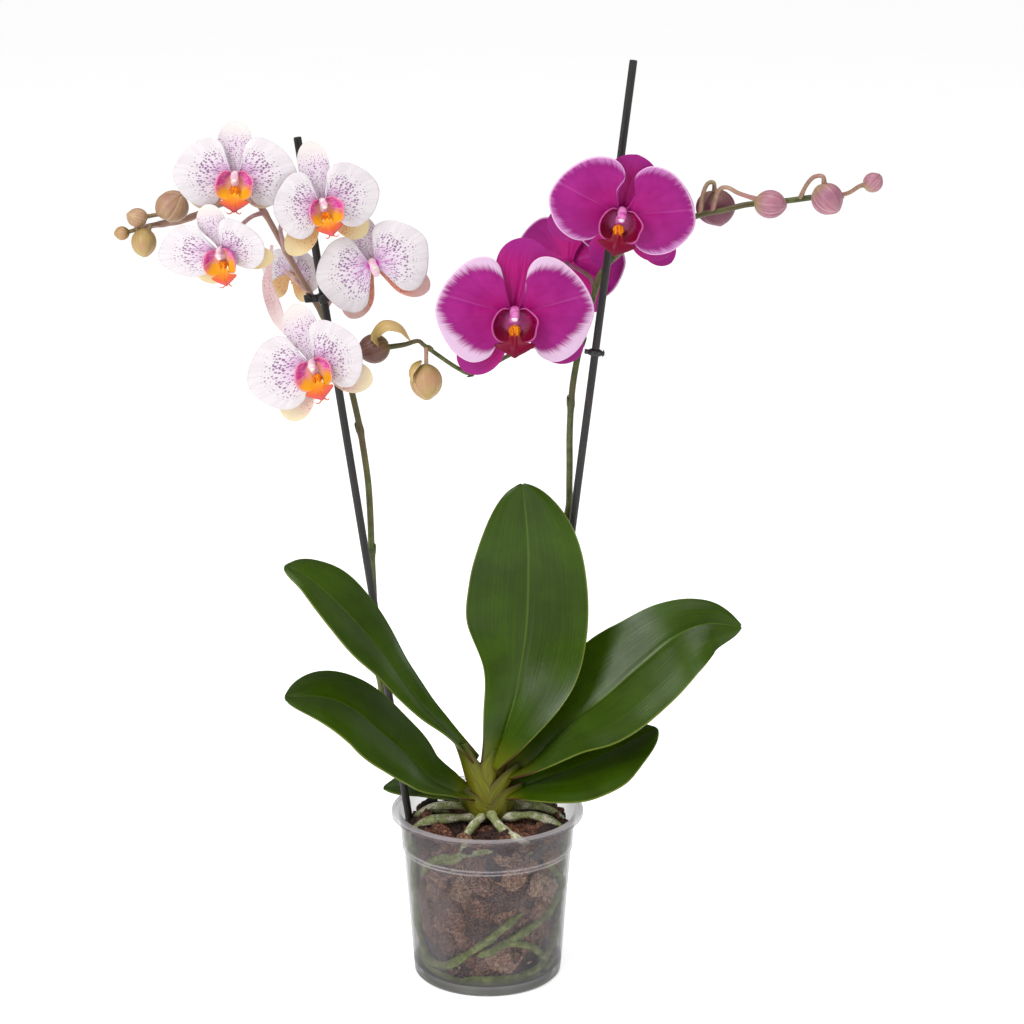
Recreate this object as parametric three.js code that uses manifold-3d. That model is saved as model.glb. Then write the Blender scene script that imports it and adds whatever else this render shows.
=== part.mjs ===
// A moth orchid in a clear nursery pot: two flower spikes tied to stakes, one spike with
// white spotted flowers and one with magenta flowers, six leaves, bark and thick roots.
// Millimetres, +Z up. The origin is on the ground under the middle of the pot, and the
// plant's front faces -Y.

import * as THREE from 'three';
import { mergeVertices } from 'three/addons/utils/BufferGeometryUtils.js';
import Module from 'manifold-3d';

const wasm = await Module();
wasm.setup();

// ---------------------------------------------------------------- driving dimensions

const GAP = 0.3;

const POT_HEIGHT = 109;
const RIM_RADIUS = 60;
const RIM_DEPTH = 3.2;
const WALL_TOP_RADIUS = 55.2;
const WALL_FOOT_RADIUS = 46;
const WALL_THICKNESS = 1.2;
const STEP_HEIGHT = 84;
const STEP_OUT = 0.7;
const FLOOR_HEIGHT = 5;
const DRAIN_HOLES = 6;
const DRAIN_CIRCLE = 27;
const DRAIN_RADIUS = 3.5;

const BARK_TOP = 100;
const BARK_CLEARANCE = 0.4;

const STAKE_RADIUS = 2.4;
const LEFT_STAKE = [[-40.7, 4, 42], [-112, 4, 531]];
const RIGHT_STAKE = [[23.6, 30, 42], [88, 30, 573]];

const SPIKE_RADIUS = 2.3;
const TWIG_RADIUS = 1.7;
const PEDICEL_RADIUS = 1.3;

const LEAF_THICKNESS = 2.2;
const PETAL_THICKNESS = 1.1;

// ---------------------------------------------------------------- finishes

const finish = (color, roughness) => new THREE.MeshStandardMaterial({ color, roughness, metalness: 0 });

const FINISHES = {
  pot: finish(0xb4aeb6, 0.25),
  bark: finish(0x5a3222, 0.9),
  root: finish(0xb4bd96, 0.6),
  crown: finish(0x7e8430, 0.5),
  leaf: finish(0x37551c, 0.35),
  spike: finish(0x5f6937, 0.5),
  stake: finish(0x3a3636, 0.6),
  clip: finish(0x262426, 0.4),
  whitePetal: finish(0xe8e0e8, 0.5),
  magentaPetal: finish(0xa51e82, 0.5),
  whiteLip: finish(0xe08a28, 0.45),
  magentaLip: finish(0xa00a46, 0.45),
  pinkBud: finish(0xb07c92, 0.5),
  tanBud: finish(0x9c8a62, 0.5),
};

// ---------------------------------------------------------------- shape helpers

const vector = (point) => new THREE.Vector3(...point);
const smooth = (t) => t * t * (3 - 2 * t);
const mix = (a, b, t) => a + (b - a) * t;

// A smooth curve through points given as [x, y, z].
function curveThrough(points) {
  return new THREE.CatmullRomCurve3(points.map(vector), false, 'catmullrom', 0.5);
}

function positionsOnly(geometry) {
  geometry.deleteAttribute('normal');
  geometry.deleteAttribute('uv');
  return mergeVertices(geometry, 1e-3);
}

function solidFrom(geometry) {
  const merged = positionsOnly(geometry);
  return new wasm.Manifold(new wasm.Mesh({
    numProp: 3,
    vertProperties: new Float32Array(merged.attributes.position.array),
    triVerts: new Uint32Array(merged.index.array),
  }));
}

function geometryFrom(solid) {
  const { vertProperties, triVerts } = solid.getMesh();
  const geometry = new THREE.BufferGeometry();
  geometry.setAttribute('position', new THREE.BufferAttribute(new Float32Array(vertProperties), 3));
  geometry.setIndex(new THREE.BufferAttribute(new Uint32Array(triVerts), 1));
  return geometry;
}

// The biggest piece of a solid that a cut has left in several pieces.
function biggestPiece(solid) {
  return solid.decompose().reduce((best, piece) => (piece.volume() > best.volume() ? piece : best));
}

// Moves every vertex of a geometry to the place that a function gives for it.
function reshape(geometry, place) {
  const position = geometry.attributes.position;
  const corner = new THREE.Vector3();
  for (let i = 0; i < position.count; i += 1) {
    corner.copy(place(corner.fromBufferAttribute(position, i).clone()));
    position.setXYZ(i, corner.x, corner.y, corner.z);
  }
  return geometry;
}

// A thin blade: a surface(u, v) with u and v from 0 to 1, thickened to both sides of itself.
// Its long margins are thinner than its middle.
function blade(surface, rows, columns, thickness) {
  const d = 1e-3;
  return reshape(new THREE.BoxGeometry(1, 1, 1, rows, columns, 1), ({ x, y, z }) => {
    const u = x + 0.5;
    const v = y + 0.5;
    const alongU = surface(Math.min(u + d, 1), v).sub(surface(Math.max(u - d, 0), v));
    const alongV = surface(u, Math.min(v + d, 1)).sub(surface(u, Math.max(v - d, 0)));
    const normal = alongU.cross(alongV).normalize();
    const margin = Math.abs(2 * v - 1) ** 3;
    return surface(u, v).addScaledVector(normal, z * thickness * (1 - 0.55 * margin));
  });
}

// A round rod along a curve. Its radius goes evenly from the first to the last value.
function rod(curve, startRadius, endRadius, steps, sides) {
  const { normals, binormals } = curve.computeFrenetFrames(steps, false);
  const stick = new THREE.CylinderGeometry(1, 1, 1, sides, steps);
  return reshape(stick, ({ x, y, z }) => {
    const step = Math.round((y + 0.5) * steps);
    const radius = mix(startRadius, endRadius, step / steps);
    return curve.getPointAt(step / steps)
      .addScaledVector(normals[step], x * radius)
      .addScaledVector(binormals[step], -z * radius);
  });
}

function ball(centre, radii, widthSegments = 8, heightSegments = 6) {
  return new THREE.SphereGeometry(1, widthSegments, heightSegments)
    .scale(...radii)
    .translate(...centre);
}

// A ring of constant section round the Z axis: inner and outer radius, and height.
function ring(inner, outer, height, segments) {
  const profile = [[inner, -height / 2], [outer, -height / 2], [outer, height / 2], [inner, height / 2]];
  return lathe([...profile, profile[0]], segments);
}

function lathe(profile, segments) {
  const points = profile.map(([r, z]) => new THREE.Vector2(r, z));
  return new THREE.LatheGeometry(points, segments).rotateX(Math.PI / 2);
}

const group = new THREE.Group();

function addMesh(name, geometry, material, parent = group) {
  const mesh = new THREE.Mesh(geometry, material);
  mesh.name = name;
  parent.add(mesh);
  return mesh;
}

// ---------------------------------------------------------------- pot

const wallSlope = (WALL_TOP_RADIUS - STEP_OUT - WALL_FOOT_RADIUS) / POT_HEIGHT;

// Outer radius of the pot's wall at a height, with the small step near the top.
function wallRadius(z) {
  return WALL_FOOT_RADIUS + wallSlope * z + (z > STEP_HEIGHT + 0.5 ? STEP_OUT : 0);
}

function potGeometry() {
  const innerRadius = (z) => wallRadius(z) - WALL_THICKNESS;
  const rimUnder = POT_HEIGHT - RIM_DEPTH;
  const padRadius = 12;
  const profile = [
    [0, 0],
    [padRadius, 0],
    [padRadius + 2, FLOOR_HEIGHT],
    [39, FLOOR_HEIGHT],
    [41, 0],
    [44, 0],
    [wallRadius(3), 3],
    [wallRadius(STEP_HEIGHT), STEP_HEIGHT],
    [wallRadius(STEP_HEIGHT + 1.5), STEP_HEIGHT + 1.5],
    [wallRadius(POT_HEIGHT) + 0.2, POT_HEIGHT - WALL_THICKNESS],
    [RIM_RADIUS - WALL_THICKNESS, POT_HEIGHT - WALL_THICKNESS],
    [RIM_RADIUS - WALL_THICKNESS, rimUnder],
    [RIM_RADIUS, rimUnder],
    [RIM_RADIUS, POT_HEIGHT],
    [wallRadius(POT_HEIGHT), POT_HEIGHT],
    [innerRadius(POT_HEIGHT - 4), POT_HEIGHT - 4],
    [innerRadius(STEP_HEIGHT + 1.5), STEP_HEIGHT + 1.5],
    [innerRadius(STEP_HEIGHT), STEP_HEIGHT],
    [innerRadius(FLOOR_HEIGHT), FLOOR_HEIGHT + WALL_THICKNESS],
    [padRadius + 3.2, FLOOR_HEIGHT + WALL_THICKNESS],
    [padRadius + 1, WALL_THICKNESS],
    [0, WALL_THICKNESS],
  ];
  let pot = solidFrom(lathe(profile, 28));
  for (let i = 0; i < DRAIN_HOLES; i += 1) {
    const angle = (2 * Math.PI * i) / DRAIN_HOLES;
    const drill = new THREE.CylinderGeometry(DRAIN_RADIUS, DRAIN_RADIUS, 8, 8)
      .rotateX(Math.PI / 2)
      .translate(DRAIN_CIRCLE * Math.cos(angle), DRAIN_CIRCLE * Math.sin(angle), FLOOR_HEIGHT);
    pot = pot.subtract(solidFrom(drill));
  }
  return geometryFrom(pot);
}

addMesh('pot', potGeometry(), FINISHES.pot);

// ---------------------------------------------------------------- roots

// Each root leaves the crown, lies over the bark and then runs down between bark and wall.
// over holds points [x, y, z]. down holds points on the wall as [bearing in degrees, height],
// with the bearing counted from +X, so that -90 is the front.
const ROOTS = [
  {
    name: 'root_left',
    radius: 3,
    over: [[-14, -9.5, 105.5], [-24, -12.5, 106], [-36, -13, 105], [-44, -13, 100]],
    down: [[-165, 88], [-169, 66], [-172, 44], [-167, 29], [-152, 16], [-124, 18], [-91, 37], [-61, 54]],
  },
  {
    name: 'root_front',
    radius: 2.7,
    over: [[-3, -11, 107], [-9, -22, 105], [-13, -34, 103], [-14, -43, 99]],
    down: [[-113, 92], [-139, 84], [-150, 72]],
  },
  {
    name: 'root_right_front',
    radius: 3,
    over: [[2.5, -10.5, 108.5], [5, -20, 106.5], [12, -32, 104.5], [21, -40, 102]],
    down: [[-12, 66], [-16, 56], [-26, 50], [-37, 46], [-55, 41.5], [-78, 33]],
  },
  {
    name: 'root_right',
    radius: 2.7,
    over: [[15.5, -8, 106], [28, -9, 107], [38, -12, 105], [46, -12, 100]],
    down: [
      [2, 88], [8, 66], [4, 44], [-12, 27], [-31, 17],
      [-46, 11.5], [-69, 10.5], [-95, 10.5], [-110, 10.5],
    ],
  },
];

const ROOT_TO_WALL = 1;

function rootGeometry({ radius, over, down }, grow = 0) {
  const downPoints = down.map(([bearing, z]) => {
    const fromAxis = wallRadius(z) - WALL_THICKNESS - radius - ROOT_TO_WALL;
    const angle = THREE.MathUtils.degToRad(bearing);
    return [fromAxis * Math.cos(angle), fromAxis * Math.sin(angle), z];
  });
  const points = [...over, ...downPoints];
  const curve = curveThrough(points);
  return rod(curve, radius + grow, radius * 0.8 + grow, Math.round(1.5 * points.length), 6);
}

ROOTS.forEach((root) => addMesh(root.name, rootGeometry(root), FINISHES.root));

// ---------------------------------------------------------------- crown

// The short stem: flattened leaf bases stacked one above the other, turned left and right.
const CROWN_SHEATHS = [
  { centre: [0, 0, 107], radii: [11, 9, 9], lean: 0 },
  { centre: [-7, -2, 116], radii: [11, 7.5, 12], lean: -0.75 },
  { centre: [8, -2, 115], radii: [11, 7, 11], lean: 0.8 },
  { centre: [-5, -1, 128], radii: [8.5, 7, 15], lean: -0.5 },
  { centre: [5, 0, 133], radii: [7, 6, 14], lean: 0.3 },
];

function crownSolid(grow = 0) {
  const sheaths = CROWN_SHEATHS.map(({ centre, radii, lean }) => {
    const sheath = new THREE.SphereGeometry(1, 8, 6).rotateX(Math.PI / 2);
    sheath.scale(...radii.map((radius) => radius + grow));
    sheath.rotateY(lean);
    sheath.translate(...centre);
    return solidFrom(sheath);
  });
  return sheaths.reduce((joined, sheath) => joined.add(sheath));
}

const crownClearance = crownSolid(GAP);

addMesh('crown', geometryFrom(crownSolid()), FINISHES.crown);

// ---------------------------------------------------------------- stakes

function stakeGeometry([foot, top], grow = 0) {
  const direction = vector(top).sub(vector(foot));
  const stake = new THREE.CylinderGeometry(STAKE_RADIUS + grow, STAKE_RADIUS + grow, direction.length(), 8);
  const toDirection = new THREE.Quaternion().setFromUnitVectors(
    new THREE.Vector3(0, 1, 0),
    direction.clone().normalize(),
  );
  stake.applyQuaternion(toDirection);
  return stake.translate(...vector(foot).addScaledVector(direction, 0.5).toArray());
}

addMesh('stake_left', stakeGeometry(LEFT_STAKE), FINISHES.stake);
addMesh('stake_right', stakeGeometry(RIGHT_STAKE), FINISHES.stake);

// ---------------------------------------------------------------- bark

function barkGeometry() {
  const inside = (z) => wallRadius(z) - WALL_THICKNESS - BARK_CLEARANCE;
  const floor = FLOOR_HEIGHT + WALL_THICKNESS + GAP;
  const profile = [
    [0, floor],
    [inside(floor) - 1, floor],
    [inside(STEP_HEIGHT - 1), STEP_HEIGHT - 1],
    [inside(BARK_TOP - 2) - STEP_OUT, BARK_TOP - 2],
    [inside(BARK_TOP) - 3, BARK_TOP],
    [26, BARK_TOP + 1.5],
    [0, BARK_TOP + 2],
  ];
  const cutters = [
    crownClearance,
    solidFrom(stakeGeometry(LEFT_STAKE, GAP)),
    solidFrom(stakeGeometry(RIGHT_STAKE, GAP)),
    ...ROOTS.map((root) => solidFrom(rootGeometry(root, GAP))),
  ];
  const bark = cutters.reduce((left, cutter) => left.subtract(cutter), solidFrom(lathe(profile, 20)));
  return geometryFrom(biggestPiece(bark));
}

addMesh('bark', barkGeometry(), FINISHES.bark);

// ---------------------------------------------------------------- leaves

// A leaf grows along its midrib. facing tells which way its upper face looks at the
// base and at the tip, fold is the V of its halves at the base, in radians. The half-widths
// are measured at equal steps of the midrib, before the tip is rounded. A viewer who looks at
// the upper face with the tip up has the far half on the left and the near half on the right.
const LEAVES = [
  {
    name: 'leaf_centre',
    midrib: [
      [2, -4, 138], [10, -2, 158], [18, 3, 185], [24, 8, 222],
      [25.5, 12, 254], [25, 14, 281], [22, 16, 314],
    ],
    facing: [[-0.1, -1, 0.2], [0, -1, 0.15]],
    nearHalf: [8, 24.3, 36, 38.3, 37.2, 33.1, 25],
    farHalf: [8, 18, 23, 37.2, 37.2, 32, 25],
    fold: 0.75,
  },
  {
    name: 'leaf_right',
    midrib: [
      [13, -3, 131], [28, 0, 140], [50, 3, 163], [71, 6, 178],
      [95, 10, 199], [116, 14, 216], [136, 19, 223], [158, 24, 220],
    ],
    facing: [[-0.6, -0.6, 0.6], [-0.15, -0.85, 0.5]],
    nearHalf: [8, 26, 33.5, 35.3, 33.2, 27.4, 16],
    farHalf: [8, 22.5, 32, 35.8, 29.6, 22.3, 13],
    fold: 0.6,
  },
  {
    name: 'leaf_right_low',
    midrib: [[12, -3, 118], [33, -2, 128], [58, -1, 137], [83, 5, 147], [106, 13, 156]],
    facing: [[-0.5, -0.5, 0.8], [-0.3, -0.6, 0.75]],
    nearHalf: [8, 24, 27.5, 31, 30, 21, 14],
    farHalf: [8, 14, 18, 22, 22, 19, 14],
    fold: 0.5,
  },
  {
    name: 'leaf_left',
    midrib: [
      [-8, -3, 140], [-25, -12, 164], [-39, -19, 181], [-51, -24, 199],
      [-66, -29, 223], [-88, -33, 250], [-107, -35, 269], [-121, -37, 277],
    ],
    facing: [[0.7, -0.4, 0.6], [0.55, -0.36, 0.75]],
    nearHalf: [6, 7, 14, 19.5, 26.5, 29, 18],
    farHalf: [6, 8, 12, 18.5, 28.5, 26, 18],
    fold: 0.6,
  },
  {
    name: 'leaf_left_low',
    midrib: [
      [-10, -5, 118], [-21, -11, 124], [-36, -17, 134], [-49, -22, 151],
      [-65, -28, 168], [-82, -33, 185], [-100, -37, 194], [-122, -40, 195],
    ],
    facing: [[0.5, -0.3, 0.8], [0.15, -0.4, 0.95]],
    nearHalf: [7, 17, 24, 30.2, 28.6, 26.8, 24],
    farHalf: [7, 14, 29, 34.3, 36.7, 30.8, 16],
    fold: 0.5,
  },
  {
    name: 'leaf_left_small',
    midrib: [[-9, 9, 108], [-25, 18, 112], [-45, 22, 115], [-65, 21, 114]],
    facing: [[0.3, -0.3, 0.9], [0, -0.35, 0.95]],
    nearHalf: [6, 8, 10, 11, 11.5, 11, 8],
    farHalf: [6, 8, 10, 11, 11.5, 11, 8],
    fold: 0.3,
  },
];

// A value between the entries of a table whose steps are equal.
function tableValue(table, t) {
  return curveThrough(table.map((value, i) => [i, value, 0])).getPoint(t).y;
}

// How wide a sepal or tongue is at a fraction of its length, from base to a round tip.
function spread(t, base, widest, roundness) {
  const opening = mix(base, 1, smooth(Math.min(t / widest, 1)));
  const ending = Math.max(t - widest, 0) / (1 - widest);
  return opening * Math.sqrt(Math.max(1 - ending ** roundness, 0.01));
}

function leafSurface({ midrib, facing, nearHalf, farHalf, fold }) {
  const spine = curveThrough(midrib);
  return (u, v) => {
    const tangent = spine.getTangentAt(u);
    const face = vector(facing[0]).lerp(vector(facing[1]), u);
    face.addScaledVector(tangent, -face.dot(tangent)).normalize();
    const across = face.clone().cross(tangent);
    const roundTip = Math.sqrt(Math.max(1 - u ** 8, 0.01));
    const offset = (2 * v - 1) * tableValue(v < 0.5 ? nearHalf : farHalf, u) * roundTip;
    const angle = mix(fold, 0.12, smooth(Math.min(2 * u, 1)));
    return spine.getPointAt(u)
      .addScaledVector(across, offset * Math.cos(angle))
      .addScaledVector(face, Math.abs(offset) * Math.sin(angle));
  };
}

for (const leaf of LEAVES) {
  const whole = solidFrom(blade(leafSurface(leaf), 10, 4, LEAF_THICKNESS));
  const solid = biggestPiece(whole.subtract(crownClearance));
  addMesh(leaf.name, geometryFrom(solid), FINISHES.leaf);
}

// ---------------------------------------------------------------- places of flowers and buds

// at is where petals and column meet. turn is the flower's bearing in degrees, 0 for the
// front and positive to the viewer's right, lean tips it up, roll turns it clockwise.
// sepals gives the angle and the length of the upper sepal and of the two side ones, and
// petalWidths how wide the right and the left petal are, where that isn't 1.
const FLOWERS = [
  {
    name: 'white_flower_1', kind: 'white', at: [-146.5, -32, 514], lowerHalf: 0.9,
    turn: 0, lean: 0, roll: 0, scale: 1, sepals: [[90, 39], [210, 39.5], [326, 35]],
  },
  {
    name: 'white_flower_2', kind: 'white', at: [-96, -31, 498], petalWidths: [1.03, 0.86],
    turn: 16, lean: 0, roll: -10, scale: 0.94, sepals: [[90, 48], [230, 48], [314, 47]],
  },
  {
    name: 'white_flower_3', kind: 'white', at: [-154.6, -44, 472.5],
    lowerHalf: 0.85, petalWidths: [0.84, 1.18],
    turn: -12, lean: -24, roll: -13, scale: 0.92, sepals: [[90, 38], [226, 44], [329, 41]],
  },
  {
    name: 'white_flower_4', kind: 'white', at: [-67.5, -14, 458.5], lowerHalf: 1.3, lipLost: true,
    turn: 8, lean: 0, roll: -20, scale: 0.96, sepals: [[90, 38], [229, 48], [312, 51]],
  },
  {
    name: 'white_flower_5', kind: 'white', at: [-102, -40, 403], petalWidths: [0.82, 1.1],
    turn: -6, lean: 0, roll: -22, scale: 1.04, sepals: [[88, 44], [223, 48], [319, 43]],
  },
  {
    name: 'white_flower_6', kind: 'white', at: [-119, 38.5, 442],
    turn: 150, lean: 0, roll: 0, scale: 0.6, sepals: [[90, 42], [230, 42], [310, 42]],
  },
  {
    name: 'magenta_flower_1', kind: 'magenta', at: [80, -20, 490], lowerHalf: 0.78, closedTop: true,
    turn: 0, lean: -8, roll: 12, scale: 0.97, sepals: [[86, 36], [206, 46], [327, 42]],
  },
  {
    name: 'magenta_flower_2', kind: 'magenta', at: [17, -22, 430],
    turn: 0, lean: 0, roll: 0, scale: 1.04, sepals: [[80, 43], [230, 46], [325, 46]],
  },
  {
    name: 'magenta_flower_3', kind: 'magenta', at: [51, 74, 442],
    turn: 160, lean: 0, roll: 0, scale: 0.8, sepals: [[90, 42], [232, 45], [308, 45]],
  },
  {
    name: 'magenta_flower_4', kind: 'magenta', at: [89, 52, 476],
    turn: 180, lean: 0, roll: 0, scale: 0.84, sepals: [[90, 42], [232, 45], [308, 45]],
  },
];

const FLOWER_SIZE = { white: 0.8, magenta: 1 };

function flowerFrame({ kind, at, turn, lean, roll, scale }) {
  const frame = new THREE.Object3D();
  frame.position.set(...at);
  frame.rotateZ(THREE.MathUtils.degToRad(turn));
  frame.rotateX(THREE.MathUtils.degToRad(90 - lean));
  frame.rotateZ(THREE.MathUtils.degToRad(-roll));
  frame.scale.setScalar(FLOWER_SIZE[kind] * scale);
  frame.updateMatrix();
  return frame.matrix;
}

const BUDS = [
  { name: 'bud_left_1', centre: [-185, -20, 494], radii: [10, 9.5, 9.5], finish: FINISHES.tanBud },
  { name: 'bud_left_2', centre: [-202, -22, 473], radii: [7.5, 7.5, 8.3], finish: FINISHES.tanBud },
  { name: 'bud_left_3', centre: [-206, -18.5, 487], radii: [6.3, 5.5, 5.7], finish: FINISHES.tanBud },
  { name: 'bud_left_4', centre: [-215.5, -16, 477], radii: [4.4, 4.2, 4.2], finish: FINISHES.tanBud },
  { name: 'bud_right_1', centre: [138, 18, 486], radii: [12, 10.5, 11], finish: FINISHES.pinkBud },
  { name: 'bud_right_2', centre: [168.5, -7, 493], radii: [9.3, 8.5, 8.5], finish: FINISHES.pinkBud },
  { name: 'bud_right_3', centre: [202, -11, 497], radii: [9.5, 9.5, 9.5], finish: FINISHES.pinkBud },
  { name: 'bud_right_4', centre: [229, -7, 506], radii: [6, 5.5, 6], finish: FINISHES.pinkBud },
  { name: 'bud_side_1', centre: [-67, -15, 406.5], radii: [9.5, 9, 9], finish: FINISHES.tanBud },
  { name: 'bud_side_2', centre: [-36, -12, 386], radii: [9.8, 9.5, 10.5], finish: FINISHES.tanBud },
];

// Where the stalk of a flower or bud ends, just short of it. A bud's stalk comes from the
// direction of its last waypoint.
const OVARY_END = -8.6;
const STALK_GAP = 1.3;

function stalkEnd(name, from) {
  const flower = FLOWERS.find((one) => one.name === name);
  if (flower) {
    return new THREE.Vector3(0, 0, OVARY_END - STALK_GAP).applyMatrix4(flowerFrame(flower)).toArray();
  }
  const bud = BUDS.find((one) => one.name === name);
  const outward = vector(from).sub(vector(bud.centre)).normalize();
  const reach = outward.clone().divide(vector(bud.radii)).length() ** -1 + STALK_GAP;
  return vector(bud.centre).addScaledVector(outward, reach).toArray();
}

// ---------------------------------------------------------------- flower spikes

// A spike is its stem with the stalks that branch off it. A stalk starts inside the stem,
// passes its points and ends at the flower or bud that it is named for.
const LEFT_SPIKE = {
  name: 'spike_left',
  stem: [
    [-9, 9, 116], [-30, 13, 123], [-50, 14, 134], [-62, 14, 149], [-66, 14, 182], [-69, 14, 214],
    [-71, 14, 266], [-73, 14, 317], [-81, 14, 368], [-93, 16, 408], [-113, 16, 445],
    [-132, 4, 485], [-140, -1, 494], [-155, -4, 493], [-170, -5, 487], [-182, -5, 482],
    [-191, -6, 481], [-200, -9, 480], [-208, -13, 478.5],
  ],
  stalks: [
    { to: 'white_flower_1', points: [[-144, -3, 494], [-148, -9, 500]] },
    { to: 'white_flower_2', points: [[-121, 11, 462], [-122, -3, 480], [-109, -13, 494]] },
    { to: 'white_flower_3', points: [[-133, 3, 486], [-141, -14, 485]] },
    { to: 'white_flower_4', points: [[-100, 16, 421], [-88, 17, 438], [-75, 8, 453]] },
    { to: 'white_flower_5', points: [[-87, 15, 388], [-83, -2, 398], [-91, -18, 404]] },
    { to: 'white_flower_6', points: [[-107, 16, 434], [-115, 19, 441], [-121, 25, 445]] },
    { to: 'bud_left_1', points: [[-176, -5, 484], [-182, -7, 483], [-187, -10, 483]] },
    { to: 'bud_left_2', points: [[-194, -7, 480.5], [-197, -12, 481], [-198.5, -17, 481.5]] },
    { to: 'bud_left_3', points: [[-185, -5, 481.5], [-191, -9, 487]] },
    { to: 'bud_left_4', points: [[-206, -12, 479], [-210, -14, 478]] },
  ],
};

const SIDE_BRANCH = [
  [56, 36, 392], [46, 27, 400], [30, 18, 401], [14, 10, 397], [2, 2, 392], [-9, -4, 389],
  [-17, -8, 393], [-28, -10, 401], [-37, -12, 408], [-41, -13, 411], [-49, -14, 409],
];

const RIGHT_SPIKE = {
  name: 'spike_right',
  stem: [
    [7, 10, 118], [16, 20, 140], [29, 32, 180], [42, 37, 235], [50, 37, 287], [51, 36, 313],
    [51, 36, 338], [52, 35, 364], [55, 36, 386], [60, 38, 408], [65, 39, 426], [69, 39, 439],
    [75, 37, 449], [87, 29, 461], [101, 17, 472], [116, 10, 479], [131, 5, 485], [141, 4, 487],
    [155, 6, 490], [168, 7, 491], [181, 4, 493], [194, 3, 495], [205, 3, 496], [213, 1, 496.5],
  ],
  stalks: [
    { to: 'bud_side_1', points: SIDE_BRANCH, radius: TWIG_RADIUS },
    { to: 'bud_side_2', points: [[-36, -11.7, 407], [-36, -12, 400]] },
    { to: 'magenta_flower_1', points: [[95, 22, 468], [95, 6, 482]] },
    { to: 'magenta_flower_2', points: [[55.5, 36, 389], [45, 20, 402], [29, 2, 420]] },
    { to: 'magenta_flower_3', points: [[66, 39, 428], [63, 45, 438]] },
    { to: 'magenta_flower_4', points: [[104, 16, 473], [101, 23, 477]] },
    { to: 'bud_right_1', points: [[128, 6, 484], [129, 6, 495], [132, 9, 502], [136, 13, 502]] },
    { to: 'bud_right_2', points: [[135, 4.5, 486], [138, 1, 499], [143, -2, 502], [150, -5, 499]] },
    { to: 'bud_right_3', points: [[187, 3.5, 494], [190, -2, 503], [194, -7, 509], [199, -10, 510]] },
    { to: 'bud_right_4', points: [[210, 1, 496.4], [216, -2, 499], [221, -5, 503]] },
  ],
};

function spikeSolid({ stem, stalks }) {
  const stemSteps = Math.round(1.5 * stem.length);
  const wholeStem = solidFrom(rod(curveThrough(stem), SPIKE_RADIUS, TWIG_RADIUS, stemSteps, 5));
  const joined = stalks.reduce((spike, { to, points, radius = PEDICEL_RADIUS }) => {
    const route = [...points, stalkEnd(to, points.at(-1))];
    return spike.add(solidFrom(rod(curveThrough(route), radius, PEDICEL_RADIUS, route.length, 4)));
  }, wholeStem);
  return biggestPiece(joined.subtract(crownClearance));
}

for (const spike of [LEFT_SPIKE, RIGHT_SPIKE]) {
  addMesh(spike.name, geometryFrom(spikeSolid(spike)), FINISHES.spike);
}

// ---------------------------------------------------------------- clips

// A clip is a soft ring round the stake with a hook that holds the spike beside it.
function addClip(name, height, [foot, top], hookLength, turn) {
  const t = (height - foot[2]) / (top[2] - foot[2]);
  const inner = STAKE_RADIUS + GAP;
  const collar = solidFrom(ring(inner, inner + 1.6, 5, 10));
  const hook = new THREE.BoxGeometry(hookLength, 1.6, 3.5).translate(inner + 1 + hookLength / 2, 0, 0);
  const clip = addMesh(name, geometryFrom(collar.add(solidFrom(hook))), FINISHES.clip);
  clip.position.copy(vector(foot).lerp(vector(top), t));
  const up = vector(top).sub(vector(foot)).normalize();
  clip.quaternion.setFromUnitVectors(new THREE.Vector3(0, 0, 1), up);
  clip.rotateZ(turn);
}

addClip('clip_left', 434, LEFT_STAKE, 6, 2.2);
addClip('clip_right', 394, RIGHT_STAKE, 5.5, 2.4);

// ---------------------------------------------------------------- buds

for (const bud of BUDS) {
  addMesh(bud.name, ball(bud.centre, bud.radii), bud.finish);
}

// ---------------------------------------------------------------- flowers

// One flower in its own frame: +X to the viewer's right, +Y up, +Z out of its face. Sizes
// are those of a magenta flower. A white one is smaller, and its petals are less tall.

const PETAL_MARGIN = [
  [3, -4], [10, -16], [15, -25], [25, -28], [36, -21], [43.5, -7], [45, 5], [38.5, 19],
  [26, 31], [15, 33], [8.5, 27], [7, 17], [4.5, 8], [2.5, 3],
];
const PETAL_CLAW = 2.2;
const PETAL_DOME = 2.6;
const PETAL_REFLEX = 1.6;
// On a flower with a closed top the petals nearly meet in front of the upper sepal.
const CLOSED_TOP_SHIFT = 6;

// side is 1 for the petal at +X and -1 for the other one. The part of the petal below its
// foot may be shorter than the one above.
function petalSurface(side, { tall, lowerHalf, petalWidths, closedTop }) {
  const wide = petalWidths[side > 0 ? 0 : 1];
  const margin = curveThrough(PETAL_MARGIN.map(([x, y]) => (
    [x * wide, y * tall * (y < 0 ? lowerHalf : 1), 0]
  )));
  return (u, v) => {
    const around = side > 0 ? v : 1 - v;
    const rim = margin.getPoint(around);
    const foot = new THREE.Vector3(PETAL_CLAW, mix(-2.5, 2.5, around), 0);
    const point = foot.lerp(rim, u);
    if (closedTop) {
      const rise = THREE.MathUtils.smoothstep(point.y, 13, 25);
      point.x -= CLOSED_TOP_SHIFT * rise * Math.max(1 - point.x / 30, 0);
    }
    point.x *= side;
    point.z = 0.8 + PETAL_DOME * Math.sin(Math.PI * u * 0.75) - PETAL_REFLEX * u ** 3;
    return point;
  };
}

function petalsSolid(shape) {
  const [right, left] = [1, -1].map((side) => (
    solidFrom(blade(petalSurface(side, shape), 3, 8, PETAL_THICKNESS))
  ));
  const column = solidFrom(ball([0, 0.6, 3], [3.6, 3.4, 5.2], 6, 4));
  return right.add(left).add(column);
}

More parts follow.
